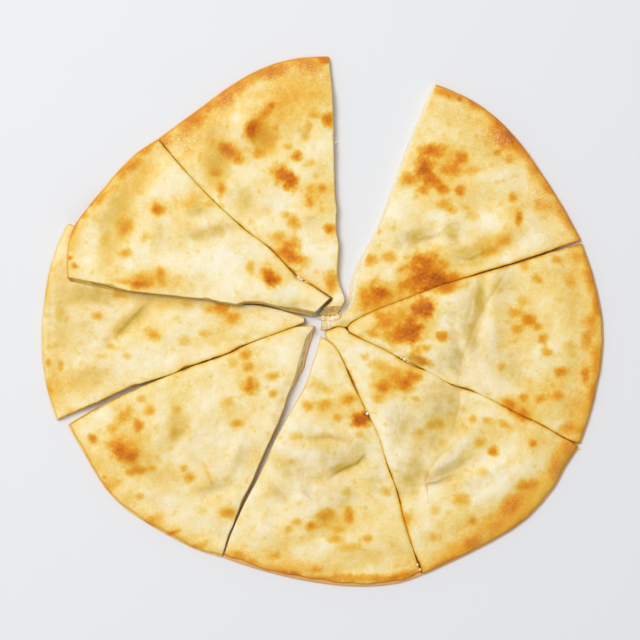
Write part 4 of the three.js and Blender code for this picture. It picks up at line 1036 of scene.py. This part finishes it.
def makeDough(part, outline, name, material, seed):
    shell = Shell()
    fine, coarse = loaf["fineColumns"], loaf["coarseColumns"]
    step = fine // coarse
    distances = rowDistances(outline["length"])
    last = len(distances) - 1
    seal = int(np.argmin(np.abs(distances - loaf["sealWidth"])))
    cutBaked, rimBaked, footBaked = 0.12, 0.5, 0.66
    plain = {"baked": cutBaked, "yellow": 0.2, "flour": 0.0, "shade": 0.0, "lip": 0.0, "inside": 1.0}

    # The top, at full detail.
    tipLean = part.get("tipLean", loaf["tipLean"])
    top = layerGrid(part, outline, "top", 1, (0, tipLean, 0), distances, fine, loaf["cutWobble"], seed)
    skin = skinValues(part, top["x"], top["y"], top["inward"], top["toCut"], top["shared"], seed)
    brown = skin.pop("brown")
    lift = loaf["skinHeight"] * layeredNoise(top["x"], top["y"], 8, 31, 3)
    lift = lift + loaf["blisterHeight"] * brown * (0.8 + 0.7 * layeredNoise(top["x"], top["y"], 3, 37, 2))
    folded, hollow = foldRise(top["x"], top["y"], part.get("folds", []))
    # The folds' feet get olive painted shade.
    skin["shade"] = np.clip(skin["shade"] + fold["shade"] * hollow, 0, 1)
    lift = (lift + folded) * smoothStep(top["inward"], 0, loaf["skinRimFade"])
    lift = lift * openness(part, top["x"], top["y"])
    lift = lift * smoothStep(top["toCut"], 0, loaf["skinCutFade"])
    nearEdge = np.clip(1 - top["toCut"] / loaf["edgeRound"], 0, 1)
    lift = lift - top["edgeDrop"] * (1 - np.sqrt(1 - nearEdge ** 2))
    topIds = shell.add(top["x"], top["y"], top["z"] + lift, inside=0.0, **skin)
    shell.sheet(topIds)

    # Ceiling, floor and underside, coarser, with fine rows where a wall meets them.
    def layer(kind, lean, rim, rows, fineRows, **values):
        insets = (0, lean * tipLean, rim)
        coarseGrid = layerGrid(part, outline, kind, lean, insets, distances[rows], coarse)
        fineGrid = layerGrid(part, outline, kind, lean, insets, distances[fineRows], fine)
        return [shell.add(*(grid[key] for key in "xyz"), **values) for grid in (coarseGrid, fineGrid)]

    underside = {**plain, "inside": 0.0, "baked": 0.24}
    bottomRows, bottomEdges = layer("bottom", 0, loaf["undercut"], slice(1, last), [0, last], **underside)
    floorRows, floorTip = layer("floor", loaf["floorLean"], 0, slice(1, seal + 1), [0], **plain)
    ceilingRows, ceilingTip = layer("ceiling", loaf["ceilingLean"], 0, slice(1, seal), [0], **plain)
    ceilingRows = np.vstack([ceilingRows, floorRows[-1]])
    for rows, tipRow, up in ((ceilingRows, ceilingTip[0], False), (floorRows, floorTip[0], True),
                             (bottomRows, bottomEdges[0], False)):
        shell.sheet(rows, up)
        shell.skirt(tipRow, rows[0], step, up)
    shell.skirt(bottomEdges[1], bottomRows[-1], step, True)

    # Past the seam both crusts are one, and a middle line carries the walls on.
    points = shell.xyz()
    bottomSide = [np.concatenate([[bottomEdges[0][side]], bottomRows[:, side], [bottomEdges[1][side]]])
                  for side in (0, -1)]
    drop, middle = [], []
    sides = ((0, 0), (1, -1))
    for side, index in sides:
        high, low = points[topIds[seal, index]], points[bottomSide[side][seal]]
        seam = points[floorRows[-1][index]]
        drop.append((high[2] - seam[2]) / (high[2] - low[2]))
        a, b = points[topIds[seal + 1:, index]], points[bottomSide[side][seal + 1:]]
        path = mix(a, b, drop[side])
        middle.append(shell.add(*path.T, **plain))
    rimA, rimB = points[topIds[-1]], points[bottomEdges[1]]
    shares = np.linspace(drop[0], drop[1], fine + 1)[:, None]
    rimPoints = mix(rimA, rimB, shares)[1:-1]
    rimMiddle = shell.add(*rimPoints.T, **{**plain, "inside": 0.0, "baked": rimBaked, "lip": part["lipTan"]})
    rimMiddle = np.concatenate([[middle[0][-1]], rimMiddle, [middle[1][-1]]])

    upperSides = [np.concatenate([[ceilingTip[0][i]], ceilingRows[:, i], middle[side]]) for side, i in sides]
    lowerSides = [np.concatenate([[floorTip[0][i]], floorRows[:, i], middle[side]]) for side, i in sides]
    topRing = ringOf(topIds[:, 0], topIds[0], topIds[:, -1], topIds[-1])
    upperRing = ringOf(upperSides[0], ceilingTip[0], upperSides[1], rimMiddle)
    lowerRing = ringOf(lowerSides[0], floorTip[0], lowerSides[1], rimMiddle)
    bottomRing = ringOf(bottomSide[0], bottomEdges[0], bottomSide[1], bottomEdges[1])
    onRim = np.zeros(len(topRing))
    onRim[-(fine - 1):] = 1
    ochre, footBrownAndShade = faceTones(part, [len(topIds), fine - 1, len(topIds), fine - 1])
    # Above 1, a face is darker all over: painted shade.
    paintedWallShade = np.clip(footBrownAndShade - 1, 0, 1)

    def crumb(arc, share):
        pits = 0.5 + 0.5 * layeredNoise(arc, 30 * share + 200.0, 2.2, seed + 61, 2)
        return -loaf["crumbDepth"] * (1 - onRim) * pits

    def wallValues(baked, inside):
        return {"baked": mix(baked, rimBaked, onRim), "yellow": ochre * (1 - onRim), "flour": 0 * onRim,
                "shade": 0 * onRim, "lip": part["lipTan"] * onRim, "inside": inside * (1 - onRim)}

    # The top crust's cut pales from its skin down, the bottom crust's browns towards the deck it baked on,
    # and a face marked above 1 is darker all over as painted shade.
    def upperValues(share):
        crust = 0.5 * max(0.0, 1 - share / 0.3) + 0.8 * paintedWallShade
        return wallValues(cutBaked + 0.2 * crust * ochre + 0.75 * paintedWallShade, np.clip(1 - crust, 0, 1))

    def lowerValues(share):
        crust = np.clip(smoothStep(share, 0.3, 1.0) * footBrownAndShade + paintedWallShade, 0, 1)
        return wallValues(cutBaked + footBaked * crust, 1 - 0.9 * crust)

    shell.painted = [(upperRing, upperValues(1)), (lowerRing, lowerValues(0)), (bottomRing, lowerValues(1))]
    shell.band(wallRings(shell, topRing, upperRing, loaf["wallSteps"], crumb, upperValues))
    shell.band(wallRings(shell, lowerRing, bottomRing, loaf["wallSteps"], crumb, lowerValues))
    return shell.toObject(name, material, 50)


def makeFilling(part, outline, name, material, seed):
    shell = Shell()
    distances = rowDistances(outline["length"])
    seal = int(np.argmin(np.abs(distances - loaf["sealWidth"])))
    rows = distances[:seal - loaf["fillingRowsShort"]]
    columns = loaf["coarseColumns"]
    recess = loaf["fillingRecess"]
    ids = []
    for kind, lean, slack in (("ceiling", loaf["ceilingLean"], -loaf["fillingSlack"]),
                              ("floor", loaf["floorLean"], loaf["fillingSlack"])):
        insets = (recess, recess + lean * part.get("tipLean", loaf["tipLean"]), 0)
        grid = layerGrid(part, outline, kind, lean, insets, rows, columns)
        ids.append(shell.add(grid["x"], grid["y"], grid["z"] + slack, ochre=0.2, darkened=0.0))
        shell.sheet(ids[-1], kind == "ceiling")
    rings = [ringOf(grid[:, 0], grid[0], grid[:, -1], grid[-1]) for grid in ids]
    atCut = np.ones(len(rings[0]))
    atCut[-(columns - 1):] = 0

    def ooze(arc, share):
        swell = loaf["oozeHeight"] * math.sin(math.pi * share)
        return atCut * swell * (1 + 0.9 * layeredNoise(arc, 40 * share, 3.5, seed + 5, 3))

    ochre, footBrownAndShade = faceTones(part, [len(rows), columns - 1, len(rows), columns - 1])
    # Faces marked darker all over get painted shade on the filling too.
    tones = {"ochre": ochre, "darkened": np.clip(footBrownAndShade - 1, 0, 1)}
    shell.band(wallRings(shell, *rings, loaf["oozeSteps"], ooze, lambda share: tones))
    return shell.toObject(name, material, 60)


crumbs = {
    "places": [                # (x, y, height of the middle, radius)
        (1, 2.4, 1.6, 2.2), (4.6, 1.9, 1.7, 2.4), (8.4, 2, 1.7, 2.4), (12, 3, 1.6, 2.2), (-2, 2.4, 1.1, 1.5),
        (13.6, 6, 1, 1.3), (-11, 5.6, 3, 1.3), (-3, 8.6, 8.4, 1.1), (-5.4, 6.6, 8, 0.9),
        (-17.4, 32.4, 9.3, 1.6), (-15.2, 30.8, 9.2, 1.3), (-12, 28.6, 9.2, 1.5), (-10, 27.2, 9.2, 1.1),
        (34, -69, 9.4, 1.2), (33.2, -66.4, 9.4, 0.8), (62, -28.4, 9.1, 1.4), (64.6, -29.8, 9, 1.1),
        (59.2, -27.2, 9.3, 0.8), (71.6, -182.4, 6.4, 1), (73.6, -186, 6.2, 1.1), (193.4, -95.8, 0.8, 1.1),
        (-64, 10.6, 8.4, 1.2), (-67.4, 11.6, 8.8, 1), (-72, 13, 8.8, 1.1), (-84, 15.6, 8.8, 0.9),
        (11, 83, 4, 1), (10.2, 134, 3, 1),
    ],
    "rows": 9,
    "columns": 16,
    "unevenness": 0.2,
    "flatness": 0.55,
    "tones": {"ochre": 0.25, "darkened": 0.0},
}


def makeCrumbs(name, material):
    # Each crumb is a globe by longitude and latitude, its radius times 1 + unevenness * noise of the
    # direction, and flattened; a row of quads round each latitude and triangles at the poles.
    shell = Shell()
    x, y, z, radius = (np.array(column, float)[:, None, None] for column in zip(*crumbs["places"]))
    latitude = np.linspace(-0.5, 0.5, crumbs["rows"] + 2)[None, 1:-1, None] * np.pi
    longitude = np.arange(crumbs["columns"])[None, None, :] * 2 * np.pi / crumbs["columns"]
    east, north = np.cos(latitude) * np.cos(longitude), np.cos(latitude) * np.sin(longitude)
    up = np.sin(latitude) + 0 * longitude
    uneven = layeredNoise(x + 9 * east + 5 * up, y + 9 * north - 5 * up, 5, 211, 2)
    size = radius * (1 + crumbs["unevenness"] * uneven)
    flatness, tones = crumbs["flatness"], crumbs["tones"]
    globe = shell.add(x + size * east, y + size * north, z + flatness * size * up, **tones)
    after = np.roll(globe, -1, axis=2)
    quads = np.stack([globe[:, :-1], after[:, :-1], after[:, 1:], globe[:, 1:]], -1)
    shell.faces.append(quads.reshape(-1, 4))
    for row, side in ((-1, 1), (0, -1)):
        pole = shell.add(x, y, z + side * flatness * radius, **tones)[:, 0]
        first, second = (globe[:, row], after[:, row])[::side]
        ends = np.stack([first, second, pole + 0 * first], -1)
        shell.faces.append(ends.reshape(-1, 3))
    return shell.toObject(name, material, 80)


def hexColour(code):
    # sRGB hex to linear RGBA
    parts = [int(code[i:i + 2], 16) / 255 for i in (1, 3, 5)]
    return [p / 12.92 if p <= 0.04045 else ((p + 0.055) / 1.055) ** 2.4 for p in parts] + [1.0]


def addNode(tree, kind, settings=None, sockets=None):
    # Adds a node. settings are its own properties; a socket takes a value, or a link as (node, output).
    node = tree.nodes.new(kind)
    for key, value in (settings or {}).items():
        setattr(node, key, value)
    for key, value in (sockets or {}).items():
        if isinstance(value, tuple) and isinstance(value[0], bpy.types.Node):
            tree.links.new(value[0].outputs[value[1]], node.inputs[key])
        else:
            node.inputs[key].default_value = value
    return node


def newMaterial(name):
    material = bpy.data.materials.new(name)
    material.use_nodes = True
    material.node_tree.nodes.clear()
    return material, material.node_tree


def objectInMm(tree):
    # Object coordinates in millimetres
    place = addNode(tree, "ShaderNodeTexCoord")
    return addNode(tree, "ShaderNodeMapping", sockets={
        "Vector": (place, "Object"), "Scale": (1000, 1000, 1000)})


def setRamp(ramp, stops):
    band = ramp.color_ramp
    while len(band.elements) < len(stops):
        band.elements.new(0.5)
    for element, (place, code) in zip(band.elements, stops):
        element.position, element.color = place, hexColour(code)


# Wheat dough baked on a hot deck: matt and floury where pale, thin and a little glossy where it blistered
# and browned.
bakedDough = {
    "stops": [(0.0, "#fdf6e8"), (0.1, "#f9eac2"), (0.2, "#f4da92"), (0.32, "#eec560"), (0.45, "#e8ad34"),
              (0.58, "#e2931a"), (0.72, "#d67c0a"), (0.86, "#c2660a"), (1.0, "#9a4a05")],
    "fat": "#dfbf52",          # melted fat under the skin
    "flourDust": "#fdf5e2",
    "shade": "#c4a545",        # in the hollows of the folds
    "lipTan": "#e3ab6d",       # the bottom crust's lip
    "crumb": "#fbedcd",        # inside of the dough
    "fatAndShadeCrumb": "#dfae46",   # and where fat soaked it, deeper as painted shade on faces in shade
    "ior": 1.45,
    "roughness": 0.6,
    "brownRoughness": 0.45,
    "gritMm": 0.7,             # flour grit is 0.1 to 0.2 mm, drawn coarser to show
    "flecksPerMm": 0.55,       # browning breaks up into flecks of 1 to 3 mm
    "fleckReach": (0.36, 0.12),  # by this much where fully browned, more than where pale
    "fatReach": 0.3,
    "dustPerMm": 0.9,          # grains of flour, about 1 mm
    "dustCover": (0.52, 0.66),
    "wrinklesPerMm": 0.35,
    "mostDust": 0.75,
    "mostShade": 0.75,
    "mostCrumb": 0.85,
}


def bakedDoughMaterial():
    look = bakedDough
    material, tree = newMaterial("bakedDough")
    inMm = objectInMm(tree)
    baked, yellow, flour, inside, shade, lip = (
        addNode(tree, "ShaderNodeAttribute", {"attribute_name": name})
        for name in ("baked", "yellow", "flour", "inside", "shade", "lip"))

    # Flecks, then the browning's colour.
    brownReach, paleReach = look["fleckReach"]
    fleck = addNode(tree, "ShaderNodeTexNoise", sockets={
        "Vector": (inMm, "Vector"), "Scale": look["flecksPerMm"], "Detail": 4.0, "Roughness": 0.6})
    fleckShift = addNode(tree, "ShaderNodeMath", {"operation": "SUBTRACT"}, {0: (fleck, "Fac"), 1: 0.5})
    reach = addNode(tree, "ShaderNodeMath", {"operation": "MULTIPLY_ADD"}, {
        0: (baked, "Fac"), 1: brownReach, 2: paleReach})
    shift = addNode(tree, "ShaderNodeMath", {"operation": "MULTIPLY"}, {0: (fleckShift, 0), 1: (reach, 0)})
    level = addNode(tree, "ShaderNodeMath", {"operation": "ADD", "use_clamp": True}, {
        0: (baked, "Fac"), 1: (shift, 0)})
    ramp = addNode(tree, "ShaderNodeValToRGB", sockets={"Fac": (level, 0)})
    setRamp(ramp, look["stops"])

    # Fat shows through the skin in soft yellow patches.
    fatSpread = addNode(tree, "ShaderNodeMath", {"operation": "MULTIPLY_ADD", "use_clamp": True}, {
        0: (fleckShift, 0), 1: look["fatReach"], 2: (yellow, "Fac")})
    fatShare = addNode(tree, "ShaderNodeMath", {"operation": "MULTIPLY"}, {
        0: (fatSpread, 0), 1: (yellow, "Fac")})
    withFat = addNode(tree, "ShaderNodeMix", {"data_type": "RGBA"}, {
        0: (fatShare, 0), 6: (ramp, "Color"), 7: hexColour(look["fat"])})

    # Grains of flour on the outer part of the loaf.
    dustFrom, dustTo = look["dustCover"]
    grains = addNode(tree, "ShaderNodeTexNoise", sockets={
        "Vector": (inMm, "Vector"), "Scale": look["dustPerMm"], "Detail": 2.0, "Roughness": 0.7})
    grainMask = addNode(tree, "ShaderNodeMapRange", {"interpolation_type": "SMOOTHSTEP"}, {
        "Value": (grains, "Fac"), "From Min": dustFrom, "From Max": dustTo})
    dust = addNode(tree, "ShaderNodeMath", {"operation": "MULTIPLY"}, {
        0: (grainMask, 0), 1: (flour, "Fac")})
    dustShare = addNode(tree, "ShaderNodeMath", {"operation": "MULTIPLY"}, {
        0: (dust, 0), 1: look["mostDust"]})
    withDust = addNode(tree, "ShaderNodeMix", {"data_type": "RGBA"}, {
        0: (dustShare, 0), 6: (withFat, 2), 7: hexColour(look["flourDust"])})

    # Olive as painted shade in the folds' hollows and under the riding slice, tan on the lip.
    shadeShare = addNode(tree, "ShaderNodeMath", {"operation": "MULTIPLY"}, {
        0: (shade, "Fac"), 1: look["mostShade"]})
    withShade = addNode(tree, "ShaderNodeMix", {"data_type": "RGBA"}, {
        0: (shadeShare, 0), 6: (withDust, 2), 7: hexColour(look["shade"])})
    withLip = addNode(tree, "ShaderNodeMix", {"data_type": "RGBA"}, {
        0: (lip, "Fac"), 6: (withShade, 2), 7: hexColour(look["lipTan"])})

    # The crumb at the cuts: ochre where fat soaked it, and as painted shade on the faces in shade.
    crumb = addNode(tree, "ShaderNodeMix", {"data_type": "RGBA"}, {
        0: (yellow, "Fac"), 6: hexColour(look["crumb"]), 7: hexColour(look["fatAndShadeCrumb"])})
    crumbShare = addNode(tree, "ShaderNodeMath", {"operation": "MULTIPLY"}, {
        0: (inside, "Fac"), 1: look["mostCrumb"]})
    colour = addNode(tree, "ShaderNodeMix", {"data_type": "RGBA"}, {
        0: (crumbShare, 0), 6: (withLip, 2), 7: (crumb, 2)})

    grit = addNode(tree, "ShaderNodeTexNoise", sockets={
        "Vector": (inMm, "Vector"), "Scale": 1 / look["gritMm"], "Detail": 3.0, "Roughness": 0.6})
    wrinkle = addNode(tree, "ShaderNodeTexNoise", sockets={
        "Vector": (inMm, "Vector"), "Scale": look["wrinklesPerMm"], "Detail": 4.0, "Roughness": 0.55,
        "Distortion": 0.6})
    wrinkleBump = addNode(tree, "ShaderNodeBump", sockets={
        "Height": (wrinkle, "Fac"), "Strength": 0.5, "Distance": 0.0008})
    gritBump = addNode(tree, "ShaderNodeBump", sockets={
        "Height": (grit, "Fac"), "Normal": (wrinkleBump, "Normal"), "Strength": 0.35, "Distance": 0.0003})
    rough = addNode(tree, "ShaderNodeMapRange", sockets={
        "Value": (level, 0), "From Min": 0.1, "From Max": 0.9, "To Min": look["roughness"],
        "To Max": look["brownRoughness"]})
    shader = addNode(tree, "ShaderNodeBsdfPrincipled", sockets={
        "Base Color": (colour, 2), "Roughness": (rough, 0), "IOR": look["ior"], "Specular IOR Level": 0.2,
        "Normal": (gritBump, "Normal"),
        "Subsurface Weight": 0.25, "Subsurface Radius": (1.0, 0.5, 0.2), "Subsurface Scale": 0.003})
    addNode(tree, "ShaderNodeOutputMaterial", sockets={"Surface": (shader, "BSDF")})
    return material


# Mashed potato with melted farmer's cheese: moist, smooth lumps of 1 to 4 mm, soft gloss.
mashedFilling = {
    "pale": "#fdf6df",
    "deep": "#f3dd9c",
    "fatAndShade": "#e0b047",        # where fat soaked it, and painted shade on the cut faces in shade
    "baked": "#8f6422",        # painted shade on the cut faces that lie darkest in shade
    "ior": 1.4,
    "roughness": 0.42,
    "lumpMm": 3.0,
}


def mashedFillingMaterial():
    look = mashedFilling
    material, tree = newMaterial("mashedPotatoAndCheese")
    inMm = objectInMm(tree)
    lumps = addNode(tree, "ShaderNodeTexNoise", sockets={
        "Vector": (inMm, "Vector"), "Scale": 1 / look["lumpMm"], "Detail": 4.0, "Roughness": 0.55})
    tone = addNode(tree, "ShaderNodeMapRange", {"interpolation_type": "SMOOTHSTEP"}, {
        "Value": (lumps, "Fac"), "From Min": 0.35, "From Max": 0.65})
    plain = addNode(tree, "ShaderNodeMix", {"data_type": "RGBA"}, {
        0: (tone, 0), 6: hexColour(look["deep"]), 7: hexColour(look["pale"])})
    ochre = addNode(tree, "ShaderNodeAttribute", {"attribute_name": "ochre"})
    fatAndShade = addNode(tree, "ShaderNodeMath", {"operation": "MULTIPLY_ADD", "use_clamp": True}, {
        0: (tone, 0), 1: -0.3, 2: (ochre, "Fac")})
    withFat = addNode(tree, "ShaderNodeMix", {"data_type": "RGBA"}, {
        0: (fatAndShade, 0), 6: (plain, 2), 7: hexColour(look["fatAndShade"])})
    darkened = addNode(tree, "ShaderNodeAttribute", {"attribute_name": "darkened"})
    colour = addNode(tree, "ShaderNodeMix", {"data_type": "RGBA"}, {
        0: (darkened, "Fac"), 6: (withFat, 2), 7: hexColour(look["baked"])})
    bump = addNode(tree, "ShaderNodeBump", sockets={
        "Height": (lumps, "Fac"), "Strength": 0.6, "Distance": 0.0012})
    shader = addNode(tree, "ShaderNodeBsdfPrincipled", sockets={
        "Base Color": (colour, 2), "Roughness": look["roughness"], "IOR": look["ior"],
        "Normal": (bump, "Normal"),
        "Subsurface Weight": 0.2, "Subsurface Radius": (1.0, 0.7, 0.35), "Subsurface Scale": 0.003})
    addNode(tree, "ShaderNodeOutputMaterial", sockets={"Surface": (shader, "BSDF")})
    return material


doughMaterial = bakedDoughMaterial()
fillingMaterial = mashedFillingMaterial()
print("materials made")

for number, part in enumerate(slices, 1):
    outline = outlineOf(part)
    for kind, make, material, slot in (("dough", makeDough, doughMaterial, "crust"),
                                       ("filling", makeFilling, fillingMaterial, "filling")):
        piece = make(part, outline, f"slice{number}{kind.capitalize()}", material, 100 * number)
        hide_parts(f"slice_{number}_{kind}")
        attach(piece, "root")
    print(f"slice {number} made")

crumbPiece = makeCrumbs("fallenCrumbs", fillingMaterial)
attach(crumbPiece, "root")
print("crumbs made")


studio = {
    "floorColour": "#e4e6ea",
    "floorHalf": 1.5,          # metres, like the places and sizes below
    "keyPlace": (-1.3, 1.0, 3.3),
    "keySize": 1.5,
    "keyPower": 84,
    "skyColour": "#fbfaf8",
    "skyStrength": 0.52,
    "pictureMiddle": (-0.0013, 0.00075),
    "sensorMm": 36,
    "cameraHeight": 1.208,
    "pictureWidth": 0.4784,    # metres across the picture at the loaf's top
    "topHeight": 0.008,
}

floorMaterial, floorTree = newMaterial("paleFloor")
floorNoise = addNode(floorTree, "ShaderNodeTexNoise", sockets={"Scale": 60.0, "Detail": 3.0})
floorRough = addNode(floorTree, "ShaderNodeMapRange", sockets={
    "Value": (floorNoise, "Fac"), "To Min": 0.6, "To Max": 0.7})
floorShader = addNode(floorTree, "ShaderNodeBsdfPrincipled", sockets={
    "Base Color": hexColour(studio["floorColour"]), "Roughness": (floorRough, 0)})
addNode(floorTree, "ShaderNodeOutputMaterial", sockets={"Surface": (floorShader, "BSDF")})
half = studio["floorHalf"]
floorMesh = bpy.data.meshes.new("floor")
corners = [(-half, -half, 0), (half, -half, 0), (half, half, 0), (-half, half, 0)]
floorMesh.from_pydata(corners, [], [(0, 1, 2, 3)])
floorMesh.materials.append(floorMaterial)
floor = bpy.data.objects.new("floor", floorMesh)
bpy.context.scene.collection.objects.link(floor)

keyData = bpy.data.lights.new("softKey", "AREA")
keyData.size, keyData.energy = studio["keySize"], studio["keyPower"]
key = bpy.data.objects.new("softKey", keyData)
key.location = studio["keyPlace"]
key.rotation_mode = "QUATERNION"
key.rotation_quaternion = key.location.to_track_quat("Z", "Y")
bpy.context.scene.collection.objects.link(key)

world = bpy.data.worlds.new("studio")
world.use_nodes = True
world.node_tree.nodes["Background"].inputs["Color"].default_value = hexColour(studio["skyColour"])
world.node_tree.nodes["Background"].inputs["Strength"].default_value = studio["skyStrength"]
bpy.context.scene.world = world
bpy.context.scene.view_settings.view_transform = "Standard"

cameraData = bpy.data.cameras.new("overhead")
cameraData.sensor_width = studio["sensorMm"]
toLoaf = studio["cameraHeight"] - studio["topHeight"]
cameraData.lens = studio["sensorMm"] * toLoaf / studio["pictureWidth"]
camera = bpy.data.objects.new("overhead", cameraData)
camera.location = (*studio["pictureMiddle"], studio["cameraHeight"])
bpy.context.scene.collection.objects.link(camera)
bpy.context.scene.camera = camera
print("floor, light and camera made")
